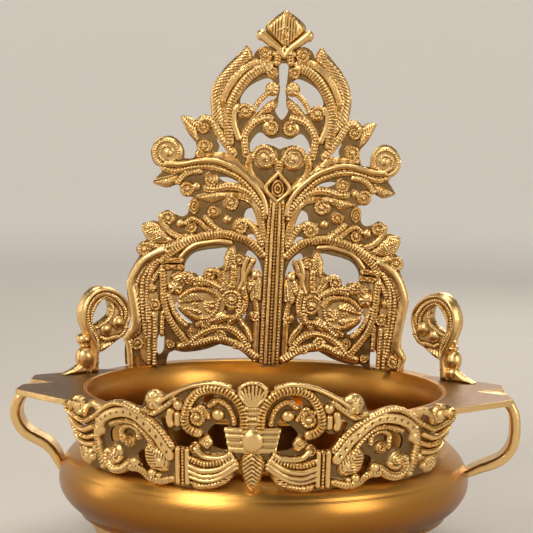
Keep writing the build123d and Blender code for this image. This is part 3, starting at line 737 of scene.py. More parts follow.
# Plain raised bodies of one half: outline and height
PANEL_BODIES = [
    ([(84.5, 56), (80, 62), (72, 67), (60, 69.5), (49, 67), (43, 58), (45, 48), (54, 43),
     (68, 43.5), (80, 46.5)], 2.4),
    ([(104, 60), (116, 60), (116, 5), (103, 5), (103, 40)], 1.4),
    ([(33, 92), (42, 88), (50, 78), (30, 62), (24, 78)], 1.4),
    ([(92, 84), (99, 84), (97, 60), (90, 50), (86, 60), (94, 70)], 1.2),
]
COLLAR = [((83, 87), (100, 86)), ((84, 93), (101, 92.5))]


def cast_by_hand(points, side):
    """Drawn points as cast: the right half is a little narrower and climbs outwards."""
    points = np.asarray(points, float)
    across, up = points[:, 0], points[:, 1]
    if side < 0:
        return np.stack([-across, up], 1)
    climb = 0.0003 * across * (up - 140.0)
    return np.stack([across - 0.0006 * across**2, up + climb], 1)


def chained(stretches, side):
    """Stretches of outline joined at their cusps."""
    return np.vstack([smooth(cast_by_hand(stretch, side))[:-1] for stretch in stretches])


def panel_place(across, up, high):
    """A point of the panel's drawing in the object's frame."""
    x = PANEL_SHIFT + across * math.cos(PANEL_LEAN) + up * math.sin(PANEL_LEAN)
    z = RIM_Z - across * math.sin(PANEL_LEAN) + up * math.cos(PANEL_LEAN)
    crown = PANEL_CROWN * np.exp(-((across / PANEL_CROWN_REACH) ** 2))
    y = PANEL_Y - PANEL_FRONT - high
    return np.stack([x, y - crown * (high > PANEL_BACK + 2.0), z], 1)


def draw_panel_half(field, side):
    """The bodies, strands, rolled ends, buttons and leaves of one half."""
    for outline, height in PANEL_BODIES:
        ground(field, closed(cast_by_hand(outline, side)), height)
    for points, wide, rise, style, pitch in PANEL_STRANDS:
        full = wide * STRAND_FULLNESS
        strand(field, cast_by_hand(points, side), full, rise * STRAND_RISE, style, pitch * PITCH_SHARE)
    for centre, radius, toward, hand, style in PANEL_VOLUTES:
        spin = 180 - toward if side < 0 else toward
        volute(field, cast_by_hand([centre], side)[0], radius, spin, hand * side, style)
    for centre, radius, rise, style, tall in PANEL_BOSSES:
        boss(field, cast_by_hand([centre], side)[0], radius, rise, style, tall)
    for outline, rib, pitch in PANEL_LEAVES:
        feather = pitch > 4
        slant = FEATHER_SLANT * side if feather else 0.8
        ring, spine = cast_by_hand(outline, side), cast_by_hand(rib, side)
        leaf(field, ring, spine, 3.0, pitch * 0.8, slant, feather=feather)
    for bar in COLLAR:
        strand(field, cast_by_hand(bar, side), 6, 4.8, "lines")


def draw_crown(field):
    """The combed spade at the top between two pods, and the lozenge above the trunk."""
    boss(field, (0, 162), 6.5, 4.6, "ring", 1.4)
    spade = [(0, 287), (8, 294), (15.5, 302), (15, 307), (8, 314), (0, 320)]
    spade += [(-x, y) for x, y in spade[-2:0:-1]]
    leaf(field, spade, [(-18, 305), (18, 305)], 3.2, 2.6, 0.0, feather=True)
    boss(field, (0, 297), 4.0, 4.8, "ring")
    strand(field, [(-6, 302), (0, 304.5), (6, 302)], 2.2, 4.0)
    for side in (-1, 1):
        pod = [(0, 279), (5, 286), (12, 291), (21, 297.5)]
        strand(field, cast_by_hand(pod, side), (4.5, 9.0), 4.4)


def build_panel():
    """The back panel, cut off square where it stands on the lip."""
    field = Field((-136, -7), (132, 322), PANEL_GRID)
    left, right = chained(PANEL_EDGE, -1), chained(PANEL_EDGE, 1)
    ground(field, np.vstack([left, right[::-1]]), 0.5)
    for side in (-1, 1):
        for opening in PANEL_OPENINGS:
            pierce(field, closed(cast_by_hand(opening, side)))
    trunk = [(-8.4, 1), (-8.2, 100), (-7, 135), (-6, 152), (6, 152), (7, 135), (8.2, 100), (8.4, 1)]
    ground(field, np.asarray(trunk, float), 3.4)
    for middle in (PANEL_HEART, PANEL_GAP):
        pair = [smooth(cast_by_hand(middle, side)) for side in (-1, 1)]
        pierce(field, np.vstack([pair[0][:-1], pair[1][::-1]]))
    for side in (-1, 1):
        draw_panel_half(field, side)
    draw_crown(field)
    above = field.up[:, None] * math.cos(PANEL_LEAN) - field.across[None, :] * math.sin(PANEL_LEAN)
    field.metal = np.minimum(field.metal, above - 0.1)
    panel = cast_mesh("panel", field, panel_place, PANEL_BACK, 11)
    hand_over(panel, ["back_panel"], CARVED)


# ---------------------------------------------------------------- front apron

APRON_MIDDLE_EDGE = [
    (0, -52), (5, -47), (8, -38), (9.5, -29), (13, -40), (19, -47), (24, -50), (34, -53),
    (48, -53.5), (60, -53), (68, -51), (76, -49.5), (84, -50), (92, -46), (105, -45), (114, -48),
    (126, -51), (136, -51), (146, -50), (158, -48), (165, -42), (170, -34), (178, -26), (183, -15),
    (190, -10), (188, -2), (180, 3), (168, 4), (155, 2), (145, -4), (136, -2), (126, 5), (116, 8),
    (106, 8), (97, 7), (92, 8), (88, 17), (80, 22), (70, 19), (60, 23), (48, 27), (36, 29),
    (24, 27), (15, 24), (10, 29), (0, 31.5),
]
APRON_OPENINGS = [
    [(31, -3), (21, 3), (18.5, -2), (21, -6), (18, -16), (17, -21), (25, -21), (32, -18), (35, -9)],
    [(75, -1), (68, 2), (67, -7), (60, -9), (54, -5), (46, -10), (42, -15), (46, -20), (52, -22),
     (60, -21), (66, -17), (70, -10)],
    [(128, -17), (120, -11.5), (111, -11), (109, -15), (113, -22), (120, -24), (127, -25)],
    [(97, -30), (91, -27.5), (85.5, -33), (84, -41), (87, -45), (92, -41), (96, -36)],
    [(152, 0), (140, -3), (137, -7), (146, -8)],
    [(33, 16), (38, 14), (37, 20), (30, 21)],
    [(166, -16), (172, -15), (168, -18), (160, -18)],
]
# Flat metal on the middle line, right half: outline and height
APRON_MIDDLE = [
    ([(0, -23), (18, -21.5), (21.5, -3.5), (0, -4)], 3.6),
    ([(0, -4), (5, -3), (4.5, 14), (0, 15)], 3.2),
    ([(0, 14), (4, 14), (9.5, 20), (10, 27), (6, 31), (0, 32)], 3.2),
]
APRON_STRANDS = [
    ([(6, -5), (7, 8), (12, 18), (20, 24), (30, 26), (40, 24), (47, 18), (51, 10), (53, 0),
     (50, -6), (43, -9)], 6.5, 4.4, "rib", 3.0),
    ([(75, 12), (66, 18), (55, 24), (45, 28), (30, 30.5), (18, 28)], 3.4, 3.4, "plain", 3),
    ([(14, 0), (16, 8), (20, 14), (27, 17), (33, 13)], 4.2, 3.6, "bead", 3.0),
    ([(34, 3), (40, 12), (46, 6)], 3.4, 3.0, "lines", 3.0),
    ([(65, 6), (66, 0), (65, -4)], 5.5, 3.2, "plain", 3),
    ([(59, 4), (59, -3)], 5, 3.2, "plain", 3),
    ([(90, 5), (82, 3), (75, 6), (68, 11), (62, 16)], 4.4, 3.4, "lines", 3),
    ([(51, -23), (51, -49)], 4, 4.0, "plain", 3),
    ([(55, -23), (55, -50)], 3.6, 3.6, "bead", 2.8),
    ([(59, -23), (59, -49)], 4, 4.0, "plain", 3),
    ([(44, -22), (38, -27), (30, -28), (22, -27), (17, -24)], 4.4, 3.6, "plain", 3),
    ([(49, -30), (38, -33), (25, -31), (16, -27)], 5.0, 3.8, "rib", 2.8),
    ([(49, -35.5), (38, -38.5), (25, -36), (14, -29)], 4.6, 3.9, "plain", 3),
    ([(49, -40), (38, -43), (25, -40.5), (12.5, -32)], 4.2, 3.7, "plain", 3),
    ([(49, -44), (38, -46.5), (26, -44), (12, -35)], 3.4, 3.5, "plain", 3),
    ([(64, -22), (70, -14), (78, -6), (88, 0), (95, 3), (105, 6), (115, 7), (125, 5), (135, -1),
     (145, -7)], 4.6, 4.0, "bead", 3.2),
    ([(66, -29), (72, -21), (78, -14), (88, -6), (96, -1), (105, 1), (115, 0), (125, -3),
     (135, -9), (141, -20)], 7.5, 3.8, "dots", 8.0),
    ([(78, -28), (85, -18), (92, -11), (100, -7), (110, -6.5), (120, -9), (125, -11)],
     4.0, 3.6, "bead", 3.0),
    ([(105, -39), (114, -45), (125, -47), (132, -42), (131, -34)], 6.5, 3.6, "bead", 3.2),
    ([(64, -47), (75, -50), (85, -49), (95, -43), (105, -43)], 5, 3.2, "rib", 2.8),
    ([(95, -18), (96, -12), (104, -9.5), (112, -13), (112, -22)], 4.0, 3.6, "bead", 2.8),
    ([(140, -10), (143, -22), (141, -36), (136, -46)], 5.5, 3.6, "rib", 3.0),
    ([(150, -9), (162, -14), (174, -12), (186, -8)], 4, 3.4, "bead", 3.0),
    ([(150, -17), (162, -21), (172, -19), (180, -14)], 4, 3.4, "plain", 3.0),
    ([(149, -24), (160, -27), (170, -25), (178, -19)], 4, 3.4, "bead", 3.0),
    ([(150, -31), (160, -32), (168, -30), (173, -26)], 4, 3.4, "plain", 3.0),
    ([(138, 0), (148, 2), (156, -2), (160, -8)], 4, 3.4, "rib", 2.6),
]
APRON_BOSSES = [
    ((26.5, 6), 5.0, 4.6, "ball", 1.0),
    ((58.5, 11.5), 4.5, 4.6, "ball", 1.0),
    ((79, 13.5), 8.5, 5.6, "rose", 1.0),
    ((104, -22), 5.2, 5.0, "ring", 1.0),
    ((121, -33), 5.0, 4.8, "ring", 1.0),
    ((100, -38), 4.5, 4.4, "ball", 1.0),
    ((75, -35), 4.5, 4.8, "ball", 1.0),
    ((83, -45), 4.0, 4.2, "ball", 1.0),
    ((77, -46), 2.6, 3.6, "ball", 1.0),
    ((139, -17), 5.5, 5.0, "ball", 1.0),
    ((146, -34), 3.6, 4.2, "ball", 1.0),
    ((152, -42), 3.6, 4.2, "ball", 1.0),
    ((168, -3), 5.5, 4.6, "ball", 1.0),
    ((183, -4), 5.5, 4.2, "ring", 0.9),
    ((160, -41), 5.5, 4.0, "ring", 1.1),
]
APRON_VOLUTES = [
    ((43.5, 3), 8.5, 60, 1, "ball"),
    ((121, -34), 8.5, 200, 1, "ball"),
    ((45, -21), 5, 200, 1, "ball"),
    ((168, -3), 9, 60, 1, "ball"),
]
APRON_LEAVES = [
    ([(17, -45), (24, -50), (34, -53), (46, -53), (50, -47), (38, -48), (26, -44), (13, -34)],
     [(12, -34), (28, -49), (49, -49)], 3.0),
    ([(35, -9), (31, -16), (35, -22), (42, -16)], [(35, -21), (37, -9)], 2.6),
    ([(84, -20), (90, -27), (86, -40), (70, -42), (68, -30), (76, -24)], [(70, -40), (86, -22)],
     3.0),
    ([(154, -36), (168, -34), (167, -44), (160, -49), (153, -46)], [(160, -49), (163, -34)], 2.8),
]


def apron_place(along, up, high):
    """A point of the apron's drawing in the object's frame: round the lip, then straight."""
    reach = APRON_R + up * math.tan(APRON_LEAN) + high
    limit = APRON_TURN * APRON_DRAWN_R
    turn = np.minimum(np.abs(along), limit) / APRON_DRAWN_R
    past = np.maximum(np.abs(along) - limit, 0)
    x = reach * np.sin(turn) + past * math.cos(APRON_TURN)
    y = -reach * np.cos(turn) + past * math.sin(APRON_TURN)
    return np.stack([np.sign(along) * x, y, RIM_Z + up], 1)


def draw_apron_half(field, side):
    """The strands, rolled ends, buttons and leaves of one half."""
    def flip(points):
        return np.asarray(points, float) * (side, 1)

    for points, wide, rise, style, pitch in APRON_STRANDS:
        full, tall = wide * APRON_FULLNESS, rise * APRON_RISE
        strand(field, flip(points), full, tall, style, pitch * PITCH_SHARE)
    for centre, radius, toward, hand, style in APRON_VOLUTES:
        spin = 180 - toward if side < 0 else toward
        volute(field, flip(centre), radius, spin, hand * side, style, rise=4.0)
    for centre, radius, rise, style, tall in APRON_BOSSES:
        boss(field, flip(centre), radius, rise, style, tall)
    for outline, rib, pitch in APRON_LEAVES:
        feather = outline is APRON_LEAVES[0][0]
        slant = FEATHER_SLANT * side if feather else 0.8
        leaf(field, flip(outline), flip(rib), 3.8, pitch, slant, feather=feather)


def draw_medallion(field):
    """The middle of the apron: shield with its stud, beaded stem, fan and pendant."""
    for plate_outline, level in APRON_MIDDLE:
        right = np.asarray(plate_outline, float)
        ground(field, np.vstack([right, (right * (-1, 1))[::-1]]), level)
    for level, half_wide in ((-5.5, 20), (-10, 19), (-15, 18), (-20, 17)):
        strand(field, [(-half_wide, level), (half_wide, level)], 3.0, 1.1, "plain", floor=3.6)
    boss(field, (0, -13.5), 8.0, 3.4, "ball", 1.05, floor=4.0)
    for level in (12, 8, 4, 0):
        strand(field, [(-4.5, level), (4.5, level)], 3.0, 1.4, "bead", 2.0, floor=3.4)
    for spread in (-8.5, -5.8, -3, 0, 3, 5.8, 8.5):
        ray = [(spread * 0.4, 14), (spread * 0.8, 22), (spread, 29.5 - spread**2 * 0.06)]
        strand(field, ray, 2.2, 1.5, "plain", floor=3.4)
    for hand in (-1, 1):
        brim = [(hand * 4, 15), (hand * 9, 21), (hand * 9.5, 27), (hand * 5, 31), (0, 32)]
        strand(field, brim, 2.4, 2.0, "plain", floor=3.4)
    pendant = [(0, -53), (5, -47), (8.5, -38), (9, -29), (6, -23)]
    pendant += [(-x, y) for x, y in pendant[:0:-1]]
    leaf(field, pendant, [(0, -23), (0, -52)], rise=5.0, pitch=3.2)


def build_apron():
    """The front apron, wrapped round the lip."""
    field = Field((-196, -56), (196, 34), APRON_GRID)
    edge = smooth(APRON_MIDDLE_EDGE)
    ground(field, np.vstack([edge, (edge * (-1, 1))[::-1][1:-1]]))
    for side in (-1, 1):
        for opening in APRON_OPENINGS:
            pierce(field, closed(np.asarray(opening, float) * (side, 1)))
    for side in (-1, 1):
        draw_apron_half(field, side)
    draw_medallion(field)
    apron = cast_mesh("apron", field, apron_place, APRON_BACK, 23)
    hand_over(apron, ["front_apron"], CARVED)


# ---------------------------------------------------------------- rim finials

FINIAL_EDGE = [
    (8, 0.2), (8, 8), (6.5, 18), (12, 21), (19, 24), (21, 27), (28, 27), (36, 34), (40, 42),
    (41, 50), (38, 60), (30, 68), (22, 73.5), (12, 76), (3, 75), (-5, 69), (-10.5, 59), (-11, 48),
    (-6, 35), (0, 21), (-1, 6), (-1, 0.2),
]
FINIAL_TOE = [(-3, 13), (-10, 9), (-18, 4.4), (-27.5, 1.0), (-27.5, 0.2), (-3, 0.2)]
FINIAL_LOOP = [
    (1.5, 42), (2, 50), (6, 58), (12, 64), (17, 64), (19, 58), (19, 52), (15, 48), (8, 44),
]


# Strands of the scroll: points, width, height, finish, pitch
FINIAL_BANDS = [
    ([(2, 4), (3.5, 22), (-3, 36), (-8, 48), (-7.5, 59), (-1.5, 68.5), (10, 73), (24, 69.5),
      (35, 60.5), (38, 50), (34, 38)], 4.4, 3.0, "plain", 3),
    ([(5, 10), (5.5, 28), (-0.5, 38), (-4.5, 48), (-3.5, 58), (2.5, 66), (12, 69.5), (24, 65.5),
      (32, 57), (34.5, 49), (32, 42)], 4.0, 3.2, "rib", 2.2),
    ([(6.5, 20), (4, 34), (-1, 45), (0, 55), (5.5, 63), (13, 66.5), (22, 62.5), (29, 54.5),
      (30.5, 48)], 3.4, 3.2, "bead", 2.4),
    ([(4, 40), (9, 42), (16, 46), (20.5, 52), (21, 58)], 3.4, 3.0, "bead", 2.4),
    ([(9, 31), (14, 29), (22, 30), (30, 31), (36, 38)], 4.0, 3.4, "rib", 2.2),
]
FINIAL_LEAF = [(6, 18), (12, 18), (20, 22.5), (26, 27), (18, 28), (10, 25)]
# Turned balls of the stem: place inwards, height, half width, half height
LEFT_BALLS = [(-4.5, 13.5, 8.4, 10.4), (-6.0, 30.0, 6.6, 5.8), (-5.0, 24.6, 5.0, 1.8)]
RIGHT_BALLS = [
    (-3.0, 35.0, 4.6, 3.4), (-3.0, 28.5, 5.2, 3.0), (-4.5, 18.0, 7.0, 9.0), (-4.0, 7.0, 6.6, 6.4),
]


def finial_place(side):
    """Puts points of a finial's drawing on the lip at one side."""
    def place(inward, up, high):
        out_x, out_y = math.cos(FINIAL_TURN), math.sin(FINIAL_TURN)
        x = FINIAL_AT[0] - inward * out_x - high * out_y
        y = FINIAL_AT[1] + inward * out_y - high * out_x
        return np.stack([side * x, y, RIM_Z + up], 1)

    return place


def draw_finial():
    """The scroll with its toe and loop, cut off where it stands on the lip."""
    field = Field((-30, -1), (46, 80), FINIAL_GRID)
    ground(field, smooth(FINIAL_EDGE, 0.8), FINIAL_FACE)
    pierce(field, closed(FINIAL_LOOP, 0.8))
    ground(field, np.asarray(FINIAL_TOE, float), 4.0)
    for points, wide, rise, style, pitch in FINIAL_BANDS:
        strand(field, points, wide, rise, style, pitch, floor=4.4)
    leaf(field, FINIAL_LEAF, [(6, 20), (25, 26.5)], floor=4.4)
    boss(field, (14, 38), 6.0, 4.2, "ball", floor=4.4)
    boss(field, (27, 43), 6.5, 4.4, "ball", floor=4.4)
    below = field.up < 0.2
    field.metal[below] = np.minimum(field.metal[below], -0.3)
    return field


def build_finial(side, name, balls):
    """One scroll finial and the turned balls of its stem."""
    place = finial_place(side)
    piece = cast_mesh(name, draw_finial(), place, -FINIAL_HALF, 31 + side, FINIAL_ROUND, -9.0)
    if side < 0:
        piece.data.flip_normals()
    hand_over(piece, [name], CARVED)
    for number, (inward, up, wide, tall) in enumerate(balls):
        bpy.ops.mesh.primitive_uv_sphere_add(segments=48, ring_count=32, radius=1.0)
        ball = bpy.context.object
        ball.name = f"{name}_ball_{number}"
        at = place(np.array([inward]), np.array([up]), np.array([0.0]))[0]
        ball.data.transform(Matrix.Diagonal((wide * MM, wide * MM, tall * MM, 1)))
        ball.data.transform(Matrix.Translation(Vector(at) * MM))
        ball.data.shade_smooth()
        hand_over(ball, [name], STRAP)


# ---------------------------------------------------------------- bowl

BELLY = [
    (155.5, 38), (165.6, 46.5), (171.8, 56), (173.4, 65), (171.8, 74), (166.6, 83.6), (158.6, 91.6),
    (151.2, 97.6), (147.4, 106), (146.9, 117), (148.6, 128), (152.5, RIM_Z - LIP_T),
]


def lathe(name, outline):
    """A closed section, given by distance from the axis and height, turned round the axis."""
    spin = np.linspace(0, 2 * math.pi, TURNS, endpoint=False)
    x = outline[:, 0][None, :] * np.cos(spin)[:, None]
    y = outline[:, 0][None, :] * np.sin(spin)[:, None]
    z = np.broadcast_to(outline[:, 1], x.shape)
    points = np.stack([x, y, z], 2).reshape(-1, 3) * MM
    mesh = bpy.data.meshes.new(name)
    mesh.from_pydata(points.tolist(), [], net(TURNS, len(outline), wrap_rows=True))
    return finished(name, mesh, 30)


def grooved(points, level, deep, half):
    """Section points with a turned groove pressed in at a height."""
    points = points.copy()
    points[:, 0] -= deep * np.clip(1 - np.abs(points[:, 1] - level) / half, 0, 1)
    return points


# Turned grooves of the belly: height, depth, half width
GROOVES = [(78.4, 0.6, 0.8), (48.0, 0.35, 0.7), (99.0, 0.35, 0.7)]
DISH_UNDER = [
    (0.5, 22), (36, 22), (70, 23.6), (100, 26.4), (130, 31), (153, 36), (154, 34.6), (155.2, 35.4),
]
DISH_OVER = [(150, 39), (130, 34), (100, 29.4), (70, 26.6), (36, 25), (0.5, 25)]
# The lip's section: distance from the axis and depth under the rim's top
LIP = [
    (153.5, LIP_T), (163.6, LIP_T), (164.8, 2.4), (165, 1.4), (164.6, 0.4), (163.8, 0), (151.2, 0),
    (150.4, 0.6),
]
EAR = [
    (150, -90.5), (204, -40.5), (207, -36), (205, -13), (196, -9), (181, 0), (194, 9), (203, 14.5),
    (203.5, 36), (201, 39), (150, 77),
]
# The ear's root on the lip: first angle, last angle, points
EAR_ROOT = (0.52, -0.55, 25)
EAR_T = 5.0
EAR_SPARE = 0.12
EAR_SOFT = 0.9


def build_bowl():
    """The spun bowl with its lip, and the forked ears in one with it."""
    outer = smooth(BELLY, 1.0)
    run = np.gradient(outer, axis=0)
    run /= np.linalg.norm(run, axis=1)[:, None]
    inner = outer + np.stack([-run[:, 1], run[:, 0]], 1) * WALL
    for level, deep, half in GROOVES:
        outer = grooved(outer, level, deep, half)
    lip = [(r, RIM_Z - depth) for r, depth in LIP]
    section = np.vstack([DISH_UNDER, outer, lip, inner[::-1][2:-2], DISH_OVER])
    hand_over(lathe("bowl_spun", section), ["bowl"], SPUN)
    root = [(LIP_FLAT_R * math.cos(a), LIP_FLAT_R * math.sin(a)) for a in np.linspace(*EAR_ROOT)]
    for side, name in ((-1, "left"), (1, "right")):
        build_ear(f"ear_{name}", [(side * x, y) for x, y in EAR + root][::side])


def build_ear(name, ring):
    """A flat plate with softened bright edges and its top and underside in painted shade, a darker copy
    of the brass.
    """
    count = len(ring)
    points = [(x * MM, y * MM, (RIM_Z - EAR_T) * MM) for x, y in ring]
    points += [(x * MM, y * MM, (RIM_Z + EAR_SPARE) * MM) for x, y in ring]
    faces = [list(range(count))[::-1], list(range(count, 2 * count))]
    faces += [(k, (k + 1) % count, count + (k + 1) % count, count + k) for k in range(count)]
    mesh = bpy.data.meshes.new(name)
    mesh.from_pydata(points, [], faces)
    piece = finished(name, mesh, 30)
    soften = piece.modifiers.new("edge", "BEVEL")
    soften.width = EAR_SOFT * MM
    soften.segments = 3
    soften.material = 1
    hand_over(piece, ["bowl"], SHADED_TOP)
    mesh.materials.append(STRAP)
    for side_face in mesh.polygons[2:]:
        side_face.material_index = 1


# ---------------------------------------------------------------- strap handles and feet

STRAP_LEFT = [
    (182.0, 138.4, 1.4), (192.0, 137.2, 2.4), (200.0, 134.9, 4.0), (206.6, 130.0, 4.6),
    (211.0, 122.0, 4.75), (211.8, 113.0, 4.75), (208.6, 104.0, 4.75), (202.6, 97.2, 4.75),
    (194.0, 92.4, 4.75), (186.5, 88.4, 4.75), (180.0, 82.4, 4.5), (174.6, 73.0, 3.8),
    (170.6, 65.0, 3.0),
]
STRAP_RIGHT = [
    (182.0, 138.4, 1.4), (192.0, 137.6, 2.4), (200.0, 135.4, 4.0), (206.6, 130.6, 4.7),
    (210.8, 122.0, 4.75), (211.8, 113.0, 4.75), (211.6, 104.0, 4.75), (209.6, 95.0, 4.75),
    (204.0, 86.4, 4.75), (195.0, 80.6, 4.75), (183.5, 76.2, 4.4), (174.0, 72.0, 3.6),
    (166.0, 68.5, 3.0),
]


STRAP_HALF_WIDTHS = [2.0, 5.0, 11.0, 13.0, 13.0, 12.0]
STRAP_WIDTHS_AT = [0, 0.06, 0.16, 0.3, 0.8, 1.0]
STRAP_RING = 40


def build_strap(stations, side, name):
    """A strap of rounded section along the handle's line, narrowing into the ear's notch."""
    line = smooth([(side * x, z, half) for x, z, half in stations], 2.0)
    run = np.gradient(line[:, :2], axis=0)
    run /= np.linalg.norm(run, axis=1)[:, None]
    spin = np.linspace(0, 2 * math.pi, STRAP_RING, endpoint=False)
    width = np.interp(np.linspace(0, 1, len(line)), STRAP_WIDTHS_AT, STRAP_HALF_WIDTHS)
    points = []
    for k in range(len(line)):
        for a in spin:
            c, s = math.cos(a), math.sin(a)
            flat_c = math.copysign(abs(c) ** 0.35, c)
            flat_s = math.copysign(abs(s) ** 0.8, s)
            lift = line[k, 2] * flat_s * (1 - 0.12 * (1 - abs(flat_c)))
            x = line[k, 0] - run[k, 1] * lift
            z = line[k, 1] + run[k, 0] * lift
            points.append((x * MM, width[k] * flat_c * MM, z * MM))
    hand_over(capped_tube(name, points, STRAP_RING, 35), [name], STRAP)


FOOT_LINE = [
    (151, 40), (150, 29), (145.5, 20), (145.5, 14), (150, 11), (155, 13), (160.5, 7.5), (154, 0.3),
    (140, 0.3), (133, 9), (129, 21), (125, 33), (124.5, 36),
]


FOOT_HALF = 12.0
FOOT_STEPS = 41
FOOT_SOLE = 0.31


def build_foot(turn, name):
    """A scrolled leaf foot with ridges running over it, thicker at the middle."""
    ring = closed(FOOT_LINE, 0.8)
    middle = ring.mean(axis=0)
    t = math.radians(turn)
    out = np.array([math.sin(t), -math.cos(t), 0.0])
    sideways = np.array([math.cos(t), math.sin(t), 0.0])
    points = []
    for v in np.linspace(-1, 1, FOOT_STEPS):
        shrink = 1 - 0.1 * abs(v) ** 4 - 0.02 * (0.5 + 0.5 * math.cos(v * 5 * math.pi))
        for p in ring:
            q = middle + (p - middle) * shrink
            height = max(q[1], 0.0) if p[1] > FOOT_SOLE else 0.0
            points.append((out * q[0] + sideways * v * FOOT_HALF + np.array([0, 0, height])) * MM)
    piece = capped_tube(name, [tuple(p) for p in points], len(ring), 40)
    hand_over(piece, [name], CARVED)


# ---------------------------------------------------------------- room, light and camera

# The room's sizes are metres
FLOOR_R = 3.6
BEND_R = 1.2
WALL_TOP = 3.2
ROOM_TURNS = 96
FLOOR_TONE = (0.66, 0.62, 0.57, 1)
FADE_FROM, FADE_TO = 0.3, 3.4
GLOW_NEAR, GLOW_FAR = 0.04, 0.52

# Lamps: name, place, width and height, power, colour
LAMPS = [
    ("key", (-1.0, -1.5, 1.5), (1.0, 1.0), 17, (1, 0.96, 0.89)),
    ("fill", (1.5, -1.1, 0.8), (0.8, 1.1), 7, (1, 0.95, 0.86)),
    ("top", (0.1, 0.0, 1.7), (0.9, 0.7), 6.5, (1, 0.97, 0.92)),
    ("left_strip", (-1.4, 0.1, 0.5), (0.25, 1.1), 1.5, (1, 0.95, 0.86)),
    ("rear", (0.5, 1.7, 1.2), (0.9, 0.9), 7, (1, 0.96, 0.9)),
]
LAMP_AIM = (0, 0, 0.2)
LAMP_SPREAD = math.radians(150)


def floor_material():
    """Pale and matt, glowing a little where the lamps fade with distance."""
    material = bpy.data.materials.new("floor")
    material.use_nodes = True
    tree = material.node_tree
    shader = tree.nodes["Principled BSDF"]
    shader.inputs["Base Color"].default_value = FLOOR_TONE
    shader.inputs["Roughness"].default_value = 0.8
    shader.inputs["Emission Color"].default_value = FLOOR_TONE
    reach = add_node(tree, "VectorMath")
    reach.operation = "LENGTH"
    tree.links.new(add_node(tree, "TexCoord").outputs["Object"], reach.inputs[0])
    limits = {"From_Min": FADE_FROM, "From_Max": FADE_TO, "To_Min": GLOW_NEAR, "To_Max": GLOW_FAR}
    fade = add_node(tree, "MapRange", **limits)
    fade.interpolation_type = "SMOOTHSTEP"
    tree.links.new(reach.outputs["Value"], fade.inputs["Value"])
    tree.links.new(fade.outputs["Result"], shader.inputs["Emission Strength"])
    return material


def build_room():
    """A pale floor turning up into a low round wall."""
    profile = [(r, 0.0) for r in np.linspace(0.02, FLOOR_R, 12)]
    for a in np.linspace(0, math.pi / 2, 13)[1:]:
        profile.append((FLOOR_R + BEND_R * math.sin(a), BEND_R * (1 - math.cos(a))))
    profile.append((FLOOR_R + BEND_R, WALL_TOP))
    count = len(profile)
    spin = np.linspace(0, 2 * math.pi, ROOM_TURNS, endpoint=False)
    points = [(r * math.cos(a), r * math.sin(a), z) for a in spin for r, z in profile]
    sides = net(ROOM_TURNS, count, wrap_rows=True, wrap_across=False)
    faces = [list(range(0, ROOM_TURNS * count, count))] + [face[::-1] for face in sides]
    mesh = bpy.data.meshes.new("floor")
    mesh.from_pydata(points, [], faces)
    mesh.shade_smooth()
    floor = bpy.data.objects.new("floor", mesh)
    bpy.context.scene.collection.objects.link(floor)
    mesh.materials.append(floor_material())


def area_light(name, at, size, power, colour):
    """A rectangular lamp aimed at the object."""
    light = bpy.data.lights.new(name, "AREA")
    light.shape = "RECTANGLE"
    light.size, light.size_y = size
    light.energy = power
    light.color = colour
    light.spread = LAMP_SPREAD
    lamp = bpy.data.objects.new(name, light)
    lamp.location = at
    lamp.rotation_euler = (Vector(LAMP_AIM) - Vector(at)).to_track_quat("-Z", "Y").to_euler()
    bpy.context.scene.collection.objects.link(lamp)


def build_lights():
    """A dim warm surround and the lamps."""
    world = bpy.data.worlds.new("studio")
    bpy.context.scene.world = world
    world.use_nodes = True
    sky = world.node_tree.nodes["Background"]
    sky.inputs["Color"].default_value = (1, 0.86, 0.68, 1)
    sky.inputs["Strength"].default_value = 0.08
    for lamp in LAMPS:
        area_light(*lamp)
    bpy.context.scene.view_settings.view_transform = "Standard"


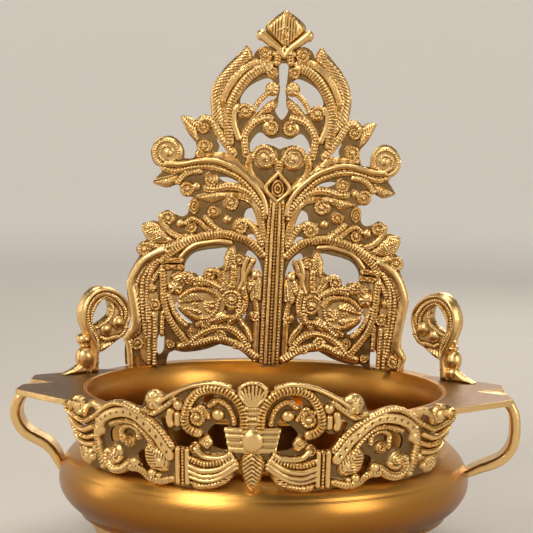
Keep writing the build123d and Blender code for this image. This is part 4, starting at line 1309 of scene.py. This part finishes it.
# The camera: its distance in metres, its angles, and the photo's sizes in pixels
CAMERA_AWAY = 1.7
CAMERA_RISE = math.radians(9.5)
CAMERA_TURN = math.radians(3.0)
CAMERA_ROLL = math.radians(0.8)
PHOTO_WIDTH = 533.0
PHOTO_FOCAL = 2000.0
PHOTO_SHIFT = 120.5
SENSOR = 36.0


def turned(first, second, angle):
    """Two crossed directions turned towards each other by an angle."""
    c, s = math.cos(angle), math.sin(angle)
    return first * c + second * s, second * c - first * s


def build_camera():
    """Three degrees to the right and nine and a half above the rim, rolled a little."""
    aim = Vector((0, 0, RIM_Z * MM))
    level = math.cos(CAMERA_RISE)
    away = Vector((level * math.sin(CAMERA_TURN), -level * math.cos(CAMERA_TURN), math.sin(CAMERA_RISE)))
    spot = aim + CAMERA_AWAY * away
    ahead = (aim - spot).normalized()
    right = ahead.cross(Vector((0, 0, 1))).normalized()
    up = right.cross(ahead)
    ahead, up = turned(ahead, up, math.atan(PHOTO_SHIFT / PHOTO_FOCAL))
    right, up = turned(right, up, CAMERA_ROLL)
    data = bpy.data.cameras.new("camera")
    data.sensor_width = SENSOR
    data.lens = SENSOR * PHOTO_FOCAL / PHOTO_WIDTH
    data.clip_start = 0.05
    data.clip_end = 50.0
    camera = bpy.data.objects.new("camera", data)
    camera.matrix_world = Matrix.Translation(spot) @ Matrix((right, up, -ahead)).transposed().to_4x4()
    bpy.context.scene.collection.objects.link(camera)
    bpy.context.scene.camera = camera


build_panel()
build_apron()
build_finial(-1, "finial_left", LEFT_BALLS)
build_finial(1, "finial_right", RIGHT_BALLS)
build_bowl()
build_strap(STRAP_LEFT, -1, "handle_left")
build_strap(STRAP_RIGHT, 1, "handle_right")
for foot_turn, foot_name in ((-60, "foot_left"), (60, "foot_right"), (180, "foot_back")):
    build_foot(foot_turn, foot_name)
for holder in ("panel", "finial", "apron"):
    for kind in ("studs", "washers", "nuts"):
        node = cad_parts[f"{holder}_{kind}"]
        node.data.materials.clear()
        node.data.materials.append(FASTENER)
build_room()
build_lights()
build_camera()
